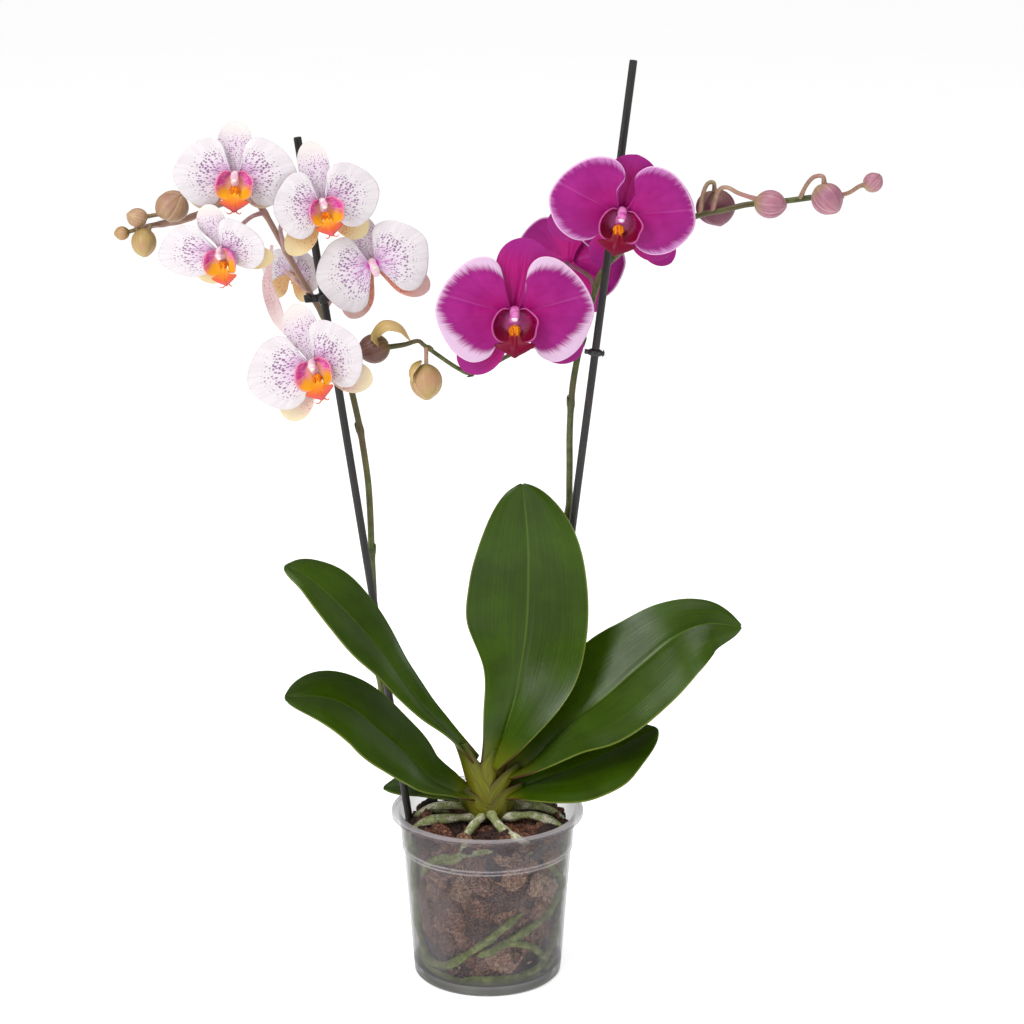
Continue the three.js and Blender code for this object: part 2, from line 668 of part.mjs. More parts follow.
// A sepal points along its angle, in degrees from +X, and bends back towards its tip.
function sepalSurface({ angle, length, width, back }) {
  const turn = new THREE.Quaternion().setFromAxisAngle(
    new THREE.Vector3(0, 0, 1),
    THREE.MathUtils.degToRad(angle),
  );
  return (u, v) => {
    const offset = (2 * v - 1) * (width / 2) * spread(u, 0.3, 0.62, 2.2);
    const depth = -3.4 - back * u * u + 0.012 * offset * offset;
    return new THREE.Vector3(mix(1.5, length, u), offset, depth).applyQuaternion(turn);
  };
}

function sepalsSolid(sepals) {
  const blades = sepals.map((sepal) => solidFrom(blade(sepalSurface(sepal), 4, 2, PETAL_THICKNESS)));
  const ovary = new THREE.CylinderGeometry(3.6, 1.8, 6, 6).rotateX(Math.PI / 2).translate(0, 0, -5.6);
  return blades.reduce((joined, sepal) => joined.add(sepal), solidFrom(ovary));
}

// The lip: a tongue that comes out and down and widens to a fan, and a cupped lobe on each
// side of the column.
function tongueSurface(u, v) {
  const offset = (2 * v - 1) * 10 * spread(u, 0.35, 0.7, 2.6);
  const depth = 4 + 11 * Math.sin(Math.PI * 0.6 * u) - 0.04 * offset * offset;
  return new THREE.Vector3(offset, -5 - 19 * u, depth);
}

function sideLobeSurface(side) {
  return (u, v) => {
    const across = (side > 0 ? 2 * v - 1 : 1 - 2 * v) * 5.5 * Math.sin(Math.PI * mix(0.15, 0.85, u));
    const point = new THREE.Vector3(3 + 9.5 * Math.sin(Math.PI * 0.5 * u), -6 + 9 * u * u, 5 + 7 * u);
    point.y += 0.75 * across;
    point.z += 0.6 * across;
    point.x *= side;
    return point;
  };
}

function lipSolid() {
  const tongue = solidFrom(blade(tongueSurface, 4, 2, PETAL_THICKNESS));
  const lobes = [1, -1].map((side) => solidFrom(blade(sideLobeSurface(side), 2, 2, PETAL_THICKNESS)));
  const callus = solidFrom(ball([0, -5.8, 6], [3.4, 2.2, 3], 6, 3));
  const columnClearance = solidFrom(ball([0, 0.6, 3], [3.9, 3.7, 5.5], 6, 4));
  return biggestPiece(tongue.add(lobes[0]).add(lobes[1]).add(callus).subtract(columnClearance));
}

const KINDS = {
  white: {
    tall: 0.86,
    upperSepal: { width: 25, back: 6 },
    sideSepal: { width: 24, back: 6 },
    lipSize: 1.05,
    petalFinish: FINISHES.whitePetal,
    lipFinish: FINISHES.whiteLip,
  },
  magenta: {
    tall: 1,
    upperSepal: { width: 31, back: 3 },
    sideSepal: { width: 25, back: 4 },
    lipSize: 1,
    petalFinish: FINISHES.magentaPetal,
    lipFinish: FINISHES.magentaLip,
  },
};

const lip = geometryFrom(lipSolid());

for (const flower of FLOWERS) {
  const { tall, upperSepal, sideSepal, lipSize, petalFinish, lipFinish } = KINDS[flower.kind];
  const sepals = sepalsSolid(flower.sepals.map(([angle, length], i) => (
    { angle, length, ...(i === 0 ? upperSepal : sideSepal) }
  )));
  const pieces = {
    sepals: [geometryFrom(sepals), petalFinish],
    petals: [geometryFrom(petalsSolid({ tall, lowerHalf: 1, petalWidths: [1, 1], ...flower })), petalFinish],
  };
  if (!flower.lipLost) {
    pieces.lip = [lip.clone().scale(lipSize, lipSize, lipSize), lipFinish];
  }
  for (const [piece, [geometry, material]] of Object.entries(pieces)) {
    addMesh(`${flower.name}_${piece}`, geometry.applyMatrix4(flowerFrame(flower)), material);
  }
}

export default group;
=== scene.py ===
# %% [markdown]
# # A potted moth orchid
#
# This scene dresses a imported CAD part. The part says where everything is and how big it is,
# and each piece made here stands for one of its nodes at the same place, with finer shapes
# and with colours. Every shape comes from a formula: a grid of points is worked out at once
# with numpy, and the same few helpers turn such grids into closed solids.
#
# All lengths in the formulas are millimetres, because that is how a plant is measured with a
# ruler. Blender works in metres, so the last step of making a mesh divides by a thousand.

# %% Load the frame
import math

import bpy
import numpy as np
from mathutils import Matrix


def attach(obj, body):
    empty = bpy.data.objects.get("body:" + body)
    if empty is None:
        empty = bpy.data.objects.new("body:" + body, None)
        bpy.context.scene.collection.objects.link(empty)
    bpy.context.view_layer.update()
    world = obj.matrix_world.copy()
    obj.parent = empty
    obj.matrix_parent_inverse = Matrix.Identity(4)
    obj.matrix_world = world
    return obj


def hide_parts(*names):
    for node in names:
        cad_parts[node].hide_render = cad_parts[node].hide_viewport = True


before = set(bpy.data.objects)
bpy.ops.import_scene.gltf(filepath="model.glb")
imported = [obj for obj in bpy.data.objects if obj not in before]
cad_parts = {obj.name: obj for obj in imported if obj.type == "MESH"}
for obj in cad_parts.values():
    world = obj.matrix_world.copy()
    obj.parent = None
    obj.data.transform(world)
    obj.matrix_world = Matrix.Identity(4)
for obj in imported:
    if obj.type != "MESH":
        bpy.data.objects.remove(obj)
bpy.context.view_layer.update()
print("CAD nodes:", len(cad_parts))

MILLIMETRE = 0.001
chance = np.random.default_rng(12)

# %% [markdown]
# ## Curves and small sums
#
# A leaf's midrib, a root and a petal's margin are each given by a few points that a smooth
# curve has to pass. Catmull-Rom curves do that: between two points the curve is a cubic
# whose slope at each end is half the step between that point's two neighbours.


# %% Curves and small sums
def smooth(t):
    """Goes from 0 to 1 as t does, and starts and ends level: 3 t squared less 2 t cubed."""
    t = np.clip(t, 0, 1)
    return t * t * (3 - 2 * t)


def steps(count):
    """Equal steps from 0 to 1, with both ends."""
    return np.linspace(0, 1, count)


def mix(a, b, t):
    """The value a share t of the way from a to b."""
    return a + (b - a) * t


def unit(vectors):
    """The same directions with length one."""
    vectors = np.asarray(vectors, float)
    return vectors / np.maximum(np.linalg.norm(vectors, axis=-1, keepdims=True), 1e-9)


def curve_points(points, t):
    """Points of the Catmull-Rom curve through points, for t from 0 at the first to 1 at the last."""
    p = np.asarray(points, float)
    padded = np.vstack([2 * p[0] - p[1], p, 2 * p[-1] - p[-2]])
    place = np.clip(t, 0, 1) * (len(p) - 1)
    first = np.minimum(place.astype(int), len(p) - 2)
    w = (place - first)[:, None]
    before, start, end, after = (padded[first + k] for k in range(4))
    slope_in, slope_out = (end - before) / 2, (after - start) / 2
    return (
        (2 * w**3 - 3 * w**2 + 1) * start
        + (w**3 - 2 * w**2 + w) * slope_in
        + (3 * w**2 - 2 * w**3) * end
        + (w**3 - w**2) * slope_out
    )


def even_curve(points, t):
    """The same curve, with t counted along its length, and its directions there."""
    fine = steps(800)
    path = curve_points(points, fine)
    along = np.concatenate([[0], np.cumsum(np.linalg.norm(np.diff(path, axis=0), axis=1))])
    own = np.interp(t, along / along[-1], fine)
    place = curve_points(points, own)
    ahead = curve_points(points, np.minimum(own + 1e-3, 1))
    behind = curve_points(points, np.maximum(own - 1e-3, 0))
    return place, unit(ahead - behind)


def curve_length(path):
    """The sum of the steps between neighbouring points."""
    return np.linalg.norm(np.diff(path, axis=0), axis=1).sum()


def waves(x, y, seed):
    """A smooth uneven value between about -1 and 1: four sine waves that cross at random angles."""
    own = np.random.default_rng(seed)
    angles = own.uniform(0, math.tau, 4)
    starts = own.uniform(0, math.tau, 4)
    speeds = own.uniform(0.6, 1.7, 4)
    total = 0
    for angle, start, speed in zip(angles, starts, speeds):
        total = total + np.sin(speed * (x * math.cos(angle) + y * math.sin(angle)) + start)
    return total / 2.6


def turn_about(axis, degrees):
    """A 4 by 4 rotation about X (0), Y (1) or Z (2), from the angle's cosine and sine."""
    matrix = np.eye(4)
    a, b = [(1, 2), (2, 0), (0, 1)][axis]
    angle = math.radians(degrees)
    matrix[a, a] = matrix[b, b] = math.cos(angle)
    matrix[a, b], matrix[b, a] = -math.sin(angle), math.sin(angle)
    return matrix


print("a smooth step at its quarters:", smooth(np.array([0.25, 0.5, 0.75])))

# %% [markdown]
# ## Closed solids from rings
#
# Nearly everything in this plant is a row of rings: a root is a row of circles, a bud a row
# of circles that shrink to points, and a leaf or petal a row of very flat loops. One helper
# joins neighbouring rings with faces and closes both ends, so each solid is watertight. It
# also adds up the solid's volume, and turns the faces over when the sum is negative, so
# that they always look outward.
#
# Each vertex carries a pair of numbers (u, v) that tell where it is on its own piece. They
# become a UV map, which the materials read to put veins, spots and pale edges in place.


# %% Closed solids from rings
LUMP_LENGTH = 5


def solid(rings, u, v):
    """One closed solid from rings of shape (rows, corners, 3), where corners is even. u and v
    are (rows, corners)."""
    rows, corners, _ = rings.shape
    index = np.arange(rows * corners).reshape(rows, corners)
    beside = np.roll(index, -1, axis=1)
    sides = np.stack([index[:-1], beside[:-1], beside[1:], index[1:]], -1).reshape(-1, 4)
    k = np.arange(corners // 2 - 1)
    cap = np.stack([k, k + 1, corners - 2 - k, corners - 1 - k], -1)
    faces = np.vstack([sides, cap[:, ::-1], cap + (rows - 1) * corners])
    points = rings.reshape(-1, 3)
    a, b, c, d = (points[faces[:, i]] for i in range(4))
    volume = (np.einsum("ij,ij->i", a, np.cross(b, c)) + np.einsum("ij,ij->i", a, np.cross(c, d))).sum()
    if volume < 0:
        faces = faces[:, ::-1]
    uv = np.stack([np.broadcast_to(u, (rows, corners)), np.broadcast_to(v, (rows, corners))], -1)
    return points, faces, uv.reshape(-1, 2)


def circle_angles(count):
    """Equal steps once round a circle, in radians."""
    return np.linspace(0, math.tau, count, endpoint=False)


def far_side(angle):
    """How far a corner is from its ring's far side: 1 where the ring begins, 0 opposite."""
    return np.abs(angle / math.pi - 1)[None, :]


def laid_out(centre, side, x, other, y):
    """A grid of points: from each row's centre, x along side and y along other."""
    return centre[:, None, :] + side[..., None, :] * x[..., None] + other[..., None, :] * y[..., None]


def tube(points, radius, rows=40, corners=12, lumps=0.0, seed=0):
    """A rod along the curve through points: circles of one radius or of one for each row, made
    uneven by lumps. Their own x direction is carried on, so that the rod doesn't twist."""
    t = steps(rows)
    centre, direction = even_curve(points, t)
    side = np.zeros_like(direction)
    guess = np.array([0.0, 0.0, 1.0]) if abs(direction[0][2]) < 0.9 else np.array([1.0, 0.0, 0.0])
    for row in range(rows):
        guess = guess - direction[row] * np.dot(guess, direction[row])
        guess = guess / np.linalg.norm(guess)
        side[row] = guess
    angle = circle_angles(corners)
    along = t[:, None] * curve_length(centre) / LUMP_LENGTH
    uneven = 1 + lumps * waves(along, np.cos(angle)[None, :] * 1.5, seed)
    reach = np.broadcast_to(np.asarray(radius, float), (rows,))[:, None] * uneven
    rings = laid_out(centre, side, reach * np.cos(angle), np.cross(direction, side), reach * np.sin(angle))
    return solid(rings, t[:, None], far_side(angle))


# %% Blades, balls and turned solids
def blade(grid, u, v, thickness, thinner=0.55):
    """A thin solid on both sides of a surface. grid is (rows, columns, 3). The rows run from
    base to tip and the columns from margin to margin, where the blade is thinner."""
    normal = unit(np.cross(np.gradient(grid, axis=0), np.gradient(grid, axis=1)))
    half = thickness / 2 * (1 - thinner * np.abs(2 * v[None, :, None] - 1) ** 3)
    upper = grid + normal * half
    lower = (grid - normal * half)[:, ::-1]
    rings = np.concatenate([upper, lower], axis=1)
    across = np.concatenate([v, v[::-1]])
    return solid(rings, u[:, None], across[None, :])


def thirds(around):
    """1 at each third of the way round, and 0 halfway between two of them."""
    return np.abs((around * 3) % 1 - 0.5) * 2


def ball(centre, radii, pole=(0, 0, 1), rows=24, corners=36, bulge=None):
    """A ball stretched to three radii: the rings' radii are sines and their heights along pole
    cosines of the same angle. bulge(along, around) may push its surface in or out."""
    pole = unit(pole)
    side = unit(np.cross(pole, [0.31, 0.95, 0.07]))
    other = np.cross(pole, side)
    along = np.linspace(0.012, 0.988, rows)[:, None]
    around = np.linspace(0, 1, corners, endpoint=False)[None, :]
    push = 1.0 if bulge is None else bulge(along, around)
    ring = np.sin(math.pi * along) * push
    height = -np.cos(math.pi * along) * push
    shape = (
        height[..., None] * pole
        + (ring * np.cos(math.tau * around))[..., None] * side
        + (ring * np.sin(math.tau * around))[..., None] * other
    )
    return solid(shape * np.asarray(radii, float) + np.asarray(centre, float), along, thirds(around))


def turned(profile, corners=96):
    """A solid turned round the Z axis from a profile of (radius, height), from one point on
    the axis round to another."""
    profile = np.asarray(profile, float)
    angle = circle_angles(corners)
    radius = np.maximum(profile[:, 0], 0.02)[:, None]
    height = np.broadcast_to(profile[:, 1][:, None], (len(profile), corners))
    rings = np.stack([radius * np.cos(angle), radius * np.sin(angle), height], -1)
    return solid(rings, steps(len(profile))[:, None], far_side(angle))


def moved(parts, matrix):
    """The same solids after a 4 by 4 matrix, in millimetres: turned by its 3 by 3 corner, then
    shifted by its last column."""
    return [(points @ matrix[:3, :3].T + matrix[:3, 3], faces, uv) for points, faces, uv in parts]


print("faces of a plain ball:", len(ball((0, 0, 0), (1, 1, 1))[1]))


# %% [markdown]
# ## From solids to objects
#
# One object can hold several solids, for instance both petals of a flower. The helper below
# puts their arrays one after the other, writes them into a mesh in one go, tells the frame
# which body the object rides on (this plant has only one, the root body), hides the CAD node
# it stands for and gives it its material.


# %% From solids to objects
def add_object(name, data):
    """A new object in the scene, at the origin."""
    made = bpy.data.objects.new(name, data)
    bpy.context.scene.collection.objects.link(made)
    return made


def plain_object(name, parts):
    """One object from a list of solids, with a UV map named place."""
    counts = np.cumsum([0] + [len(points) for points, _, _ in parts])
    points = np.vstack([part[0] for part in parts])
    faces = np.vstack([part[1] + start for part, start in zip(parts, counts)])
    uv = np.vstack([part[2] for part in parts])
    mesh = bpy.data.meshes.new(name)
    mesh.vertices.add(len(points))
    mesh.vertices.foreach_set("co", (points * MILLIMETRE).astype(np.float32).ravel())
    mesh.loops.add(faces.size)
    mesh.loops.foreach_set("vertex_index", faces.astype(np.int32).ravel())
    mesh.polygons.add(len(faces))
    mesh.polygons.foreach_set("loop_start", np.arange(0, faces.size, 4, dtype=np.int32))
    mesh.polygons.foreach_set("use_smooth", np.ones(len(faces), bool))
    layer = mesh.uv_layers.new(name="place")
    layer.data.foreach_set("uv", uv[faces.ravel()].astype(np.float32).ravel())
    mesh.update()
    mesh.validate()
    return add_object(name, mesh)


def show(name, parts, material, stands_for=None, sharp=None):
    """Makes one object from a list of solids and adds it to the plant, in place of the CAD node
    that it stands for. Edges that bend by more than sharp degrees are shaded as corners."""
    piece = plain_object(name, parts)
    if sharp is not None:
        piece.data.set_sharp_from_angle(angle=math.radians(sharp))
    piece.data.materials.append(material)
    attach(piece, "root")
    if stands_for:
        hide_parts(stands_for)
    return piece


def apply_modifiers(piece):
    """Puts what a piece's modifiers make of it in place of its mesh."""
    shaped = piece.evaluated_get(bpy.context.evaluated_depsgraph_get())
    mesh = bpy.data.meshes.new_from_object(shaped)
    piece.modifiers.clear()
    piece.data = mesh


# %% [markdown]
# ## A short way to write materials
#
# Every material is a Principled shader with a few texture nodes in front of it. The classes
# below add nodes and join them, so that a material reads like a small sum. Colours are
# written as on a screen, from 0 to 255, and turned into the linear values of the shader.
#
# Several materials need the same effect, for instance lines along a petal. Such an effect is
# a node group: it is built once, with named inputs and outputs, and every material places it
# with its own values. `Effect` builds a group and `Look` a material, and both are `Nodes`.


# %% A short way to write materials
def colour(red, green, blue):
    """A screen colour as the linear red, green, blue and alpha that shaders use."""
    shares = np.array([red, green, blue]) / 255
    linear = np.where(shares > 0.04, ((shares + 0.055) / 1.055) ** 2.4, shares / 12.92)
    return (*linear.tolist(), 1.0)


class Nodes:
    """The nodes of a material or a group while they are put together."""

    def __init__(self, tree):
        self.tree = tree

    def feed(self, value, socket):
        """Gives a socket the output of another node, or a constant."""
        if isinstance(value, bpy.types.NodeSocket):
            self.tree.links.new(value, socket)
        else:
            socket.default_value = value

    def add(self, kind, settings=None, **sockets):
        """Adds a node. settings are its own properties, and sockets its inputs. An input goes
        by its name, with _ for a space, or by i and its number."""
        node = self.tree.nodes.new("ShaderNode" + kind)
        for key, value in (settings or {}).items():
            setattr(node, key, value)
        for key, value in sockets.items():
            self.feed(value, node.inputs[int(key[1:]) if key[1:].isdigit() else key.replace("_", " ")])
        return node

    def use(self, effect, **sockets):
        """Places a shared effect and gives back its outputs."""
        node = self.tree.nodes.new("ShaderNodeGroup")
        node.node_tree = effect.tree
        for key, value in sockets.items():
            self.feed(value, node.inputs[key])
        return node.outputs

    def object_place(self):
        """Where a point is in the object, in metres."""
        return self.add("TexCoord").outputs["Object"]

    def place(self):
        """The outputs u and v of the piece's own UV map."""
        split = self.add("SeparateXYZ", Vector=self.add("UVMap", {"uv_map": "place"}).outputs["UV"])
        return split.outputs["X"], split.outputs["Y"]

    def axis(self, vector, name):
        """The part of a vector along X, Y or Z."""
        return self.add("SeparateXYZ", Vector=vector).outputs[name]

    def calc(self, operation, a, b=0.0, clamp=False):
        """A sum of two values, held between 0 and 1 if clamp is set."""
        return self.add("Math", {"operation": operation, "use_clamp": clamp}, i0=a, i1=b).outputs["Value"]

    def plus(self, a, b, clamp=False):
        """a and b added up."""
        return self.calc("ADD", a, b, clamp)

    def less(self, a, b):
        """a with b taken off."""
        return self.calc("SUBTRACT", a, b)

    def times(self, a, b):
        """a multiplied by b."""
        return self.calc("MULTIPLY", a, b)

    def between(self, value, low, high):
        """0 where value is at low, 1 at high, and smooth between them."""
        ease = {"interpolation_type": "SMOOTHSTEP"}
        return self.add("MapRange", ease, Value=value, From_Min=low, From_Max=high).outputs["Result"]

    def vector(self, x, y):
        """A vector from x and y, with 0 for z."""
        return self.add("CombineXYZ", X=x, Y=y).outputs["Vector"]

    def noise(self, vector, scale, detail=2.0, roughness=0.5):
        """Clouds of 0 to 1. scale is how many fit into one unit, and detail adds finer ones."""
        node = self.add("TexNoise", Vector=vector, Scale=scale, Detail=detail, Roughness=roughness)
        return node.outputs["Fac"]

    def blend(self, factor, first, second):
        """first where factor is 0 and second where it is 1."""
        return self.add("Mix", {"data_type": "RGBA"}, i0=factor, i6=first, i7=second).outputs[2]

    def over(self, shade, paint, mask, strength=1):
        """paint over shade, where mask is 1 and as thickly as strength. shade and paint are the
        outputs of nodes or screen colours."""
        shade, paint = (colour(*one) if isinstance(one, tuple) else one for one in (shade, paint))
        return self.blend(mask if strength == 1 else self.times(mask, strength), shade, paint)

    def ramp(self, value, stops):
        """A colour for each value, from stops of (value, screen colour)."""
        node = self.add("ValToRGB", Fac=value)
        marks = node.color_ramp.elements
        while len(marks) < len(stops):
            marks.new(0.5)
        for mark, (place, shade) in zip(marks, stops):
            mark.position = place
            mark.color = colour(*shade)
        return node.outputs["Color"]


# %% Node groups and materials
class Effect(Nodes):
    """A node group. Its inputs are given by name with their usual values."""

    def __init__(self, name, **inputs):
        super().__init__(bpy.data.node_groups.new(name, "ShaderNodeTree"))
        for key, value in inputs.items():
            kind = "NodeSocketVector" if isinstance(value, tuple) else "NodeSocketFloat"
            socket = self.tree.interface.new_socket(key, in_out="INPUT", socket_type=kind)
            socket.default_value = value
        self.inputs = self.tree.nodes.new("NodeGroupInput").outputs

    def give(self, **outputs):
        """Names the group's outputs and feeds them."""
        end = self.tree.nodes.new("NodeGroupOutput")
        for key, output in outputs.items():
            self.tree.interface.new_socket(key, in_out="OUTPUT", socket_type="NodeSocketFloat")
            self.tree.links.new(output, end.inputs[key])
        return self


class Look(Nodes):
    """A material. Its constants go straight into the shader's own sockets, and gloss is the
    shader's specular level."""

    def __init__(self, name, roughness=0.5, gloss=0.5, **constants):
        self.material = bpy.data.materials.new(name)
        self.material.use_nodes = True
        super().__init__(self.material.node_tree)
        self.shader = self.tree.nodes["Principled BSDF"]
        self.shader.inputs["Roughness"].default_value = roughness
        self.shader.inputs["Specular IOR Level"].default_value = gloss
        for socket, value in constants.items():
            self.shader.inputs[socket.replace("_", " ")].default_value = value

    def link(self, output, name):
        """Feeds an input of the shader."""
        self.tree.links.new(output, self.shader.inputs[name])

    def bump(self, height, strength, distance=0.001):
        """Tilts the surface as if height were raised by up to distance, in metres."""
        node = self.add("Bump", Strength=strength, Distance=distance, Height=height)
        self.link(node.outputs["Normal"], "Normal")

    def finish(self, shade):
        """Paints the shader with a shade and gives back the material."""
        self.link(shade, "Base Color")
        return self.material


# %% [markdown]
# ## Effects that materials share
#
# Four effects come back in most materials of this plant:
#
# - patches, an uneven spread of lighter and darker places in space, as on bark and stems,
# - veins, lines that run from the base of a blade to its tip,
# - the distance from the nearer margin of a blade, for pale or purple edges,
# - dashes, the small spots on petals and sepals that stand in rows.


# %% Effects that materials share
def patches_effect():
    """Noise in space. Mask is 0 where it is below Low and 1 where it is above High."""
    effect = Effect("patches", Place=(0.0, 0.0, 0.0), Scale=100.0, Low=0.4, High=0.65)
    cloud = effect.noise(effect.inputs["Place"], effect.inputs["Scale"], 4, 0.6)
    return effect.give(Height=cloud, Mask=effect.between(cloud, effect.inputs["Low"], effect.inputs["High"]))


def veins_effect():
    """Noise that changes Lines times across a blade, but only Stretch times along it."""
    effect = Effect("veins", U=0.0, V=0.0, Lines=30.0, Stretch=1.5, Low=0.42, High=0.66)
    across = effect.times(effect.inputs["V"], effect.inputs["Lines"])
    along = effect.times(effect.inputs["U"], effect.inputs["Stretch"])
    lines = effect.noise(effect.vector(across, along), 1.0, 3, 0.6)
    return effect.give(Height=lines, Mask=effect.between(lines, effect.inputs["Low"], effect.inputs["High"]))


def margin_effect():
    """1 less the size of 2 V less 1: 0 on either margin and 1 on the midrib."""
    effect = Effect("distance_from_margin", V=0.5)
    twice = effect.times(effect.inputs["V"], 2.0)
    from_middle = effect.calc("ABSOLUTE", effect.less(twice, 1.0))
    return effect.give(Distance=effect.less(1.0, from_middle))


def dashes_effect():
    """A cell pattern with Rows cells along a blade and Lines cells across it. A cell has a dash
    when its random value is above Few, and dashes get smaller until none are left at End."""
    effect = Effect("dashes", U=0.0, V=0.0, Rows=17.0, Lines=74.0, Size=0.38, Few=0.3, Start=0.4, End=0.8)
    along = effect.times(effect.inputs["U"], effect.inputs["Rows"])
    across = effect.times(effect.inputs["V"], effect.inputs["Lines"])
    sway = effect.noise(effect.vector(along, across), 0.35, 2)
    grid = effect.vector(effect.plus(along, sway), across)
    cells = effect.add("TexVoronoi", {"voronoi_dimensions": "2D"}, Vector=grid, Scale=1.0, Randomness=0.9)
    own = effect.add("SeparateColor", Color=cells.outputs["Color"]).outputs["Red"]
    enough = effect.plus(effect.inputs["Few"], 0.45)
    chosen = effect.between(own, effect.inputs["Few"], enough)
    fading = effect.between(effect.inputs["U"], effect.inputs["End"], effect.inputs["Start"])
    size = effect.times(effect.times(chosen, fading), effect.inputs["Size"])
    beyond = effect.less(cells.outputs["Distance"], size)
    return effect.give(Mask=effect.between(beyond, 0.06, -0.02))


PATCHES = patches_effect()
VEINS = veins_effect()
MARGIN = margin_effect()
DASHES = dashes_effect()
print("shared effects:", [group.name for group in bpy.data.node_groups])

# %% [markdown]
# ## The pot
#
# The pot is thin clear plastic, blown into shape and a little milky. It is turned from one
# profile: out along the bottom, up the wall with its small step, over the rim, and down the
# inside. What makes it look like plastic is not clear glass but haze, a thin grey layer that
# lets most of the light through. So the material is partly transparent through Alpha, and
# more opaque where the wall is seen edge on, at the thick rim, and where the bottom curves
# in. Two thin lines round the pot at the step and one along the top edge of the rim are
# painted highlights in near white.

# %% The pot
POT_HEIGHT = 109
RIM_RADIUS = 60
RIM_DEPTH = 3.2
WALL_TOP_RADIUS = 55.2
WALL_FOOT_RADIUS = 46
WALL_THICKNESS = 1.2
STEP_HEIGHT = 84
STEP_OUT = 0.7
FLOOR_HEIGHT = 5
wall_slope = (WALL_TOP_RADIUS - STEP_OUT - WALL_FOOT_RADIUS) / POT_HEIGHT


def wall_radius(z):
    """Outer radius of the wall at height z: a straight cone, and further out above the step."""
    return WALL_FOOT_RADIUS + wall_slope * z + STEP_OUT * smooth((z - STEP_HEIGHT) / 1.5)


def pot_look():
    """Haze added up from clouds, the view edge on and heights in metres: the band above the
    step, two lines at it, the foot, the rim and its top edge. The two lines and the top edge
    also get a painted highlight in near white."""
    look = Look("hazy_plastic", roughness=0.22, gloss=0.35)
    where = look.object_place()
    height = look.axis(where, "Z")
    at_rim = look.between(height, 0.1045, 0.106)
    # a thin band on the top edge of the rim, where a highlight is painted
    rim_highlight = look.between(height, 0.1075, 0.1083)
    upper_band = look.between(height, 0.0845, 0.0855)
    # two thin lines at the step, where highlights are painted
    from_step = look.calc("ABSOLUTE", look.less(height, 0.0852))
    lines = look.times(look.between(from_step, 0.0005, 0.001), look.between(from_step, 0.002, 0.0014))
    near_foot = look.between(height, 0.013, 0.004)
    clouds = look.use(PATCHES, Place=where, Scale=45.0, Low=0.35, High=0.7)["Mask"]
    edge_on = look.add("LayerWeight", Blend=0.27).outputs["Facing"]
    haze = look.plus(look.times(clouds, 0.05), 0.06)
    shares = [(upper_band, 0.05), (edge_on, 0.6), (near_foot, 0.55), (at_rim, 0.03)]
    for share, strength in [*shares, (rim_highlight, 0.14), (lines, 0.1)]:
        haze = look.plus(haze, look.times(share, strength), clamp=True)
    look.link(haze, "Alpha")
    wall = look.over((112, 108, 112), (134, 130, 134), clouds)
    wall = look.over(wall, (46, 46, 42), edge_on)
    wall = look.over(wall, (60, 60, 54), near_foot)
    wall = look.over(wall, (104, 92, 96), at_rim, 0.6)
    look.bump(look.noise(where, 50, 1), 0.03)
    # painted highlights: near white on the rim's top edge and on the two lines at the step
    return look.finish(look.over(wall, (214, 208, 212), look.calc("MAXIMUM", rim_highlight, lines), 0.8))


# %% The shape of the pot
def pot_profile():
    """Radius and height of each corner, from the middle of the bottom round to the inside."""
    step, top, rim = STEP_HEIGHT, POT_HEIGHT, RIM_RADIUS
    rim_under, floor_top = top - RIM_DEPTH, FLOOR_HEIGHT + WALL_THICKNESS
    below = [(wall_radius(z), z) for z in (2.4, 3.2, 20, 40, 60, 80, step - 0.4)]
    above = [(wall_radius(z), z) for z in (step + 2, 95, 104, top - 2.2)]
    heights = (top - 4, 95, step + 2, step - 0.5, 60, 40, 20, FLOOR_HEIGHT + 3)
    return [
        (0, 0), (12, 0), (14, FLOOR_HEIGHT), (39, FLOOR_HEIGHT),
        (40.6, 0.4), (41.2, 0), (43.4, 0), (44.2, 0.3),
        *below,
        (wall_radius(step) + 0.25, step + 0.3), (wall_radius(step + 1.5) + 0.25, step + 1.3),
        *above,
        (rim - 2.6, top - 1.5), (rim - 1.3, top - 2.2), (rim - 1.2, rim_under),
        (rim - 0.7, rim_under - 0.2), (rim, rim_under + 0.3), (rim, top - 0.8),
        (rim - 0.4, top - 0.2), (rim - 1.2, top), (57, top), (55.4, top - 0.3), (54.3, top - 1.4),
        *[(wall_radius(z) - WALL_THICKNESS, z) for z in heights],
        (wall_radius(FLOOR_HEIGHT) - WALL_THICKNESS - 1.5, floor_top),
        (15.2, floor_top), (13, WALL_THICKNESS), (0, WALL_THICKNESS),
    ]


pot = show("pot_shell", [turned(pot_profile(), 144)], pot_look(), "pot", sharp=50)
print("pot:", len(pot.data.polygons), "faces, rim", round(max(pot.dimensions[:2]) * 1000), "mm across")

# %% [markdown]
# The bottom has six drain holes. A Boolean modifier cuts them with a second mesh, whose
# object isn't part of the plant and is deleted once the cut has been applied.

# %% Drain holes
DRAIN_HOLES = 6
DRAIN_CIRCLE = 27
DRAIN_RADIUS = 3.5
DRILL_LENGTH = 8
drill_part = turned([(0, 0), (DRAIN_RADIUS, 0), (DRAIN_RADIUS, DRILL_LENGTH), (0, DRILL_LENGTH)], 32)
drills = []
for bearing in circle_angles(DRAIN_HOLES):
    shift = np.eye(4)
    shift[:3, 3] = (DRAIN_CIRCLE * math.cos(bearing), DRAIN_CIRCLE * math.sin(bearing), FLOOR_HEIGHT - 3)
    drills += moved([drill_part], shift)
drill = plain_object("pot_drill", drills)
cut = pot.modifiers.new("drain_holes", "BOOLEAN")
cut.operation = "DIFFERENCE"
cut.object = drill
apply_modifiers(pot)
bpy.data.objects.remove(drill)
print("pot with its holes:", len(pot.data.polygons), "faces")

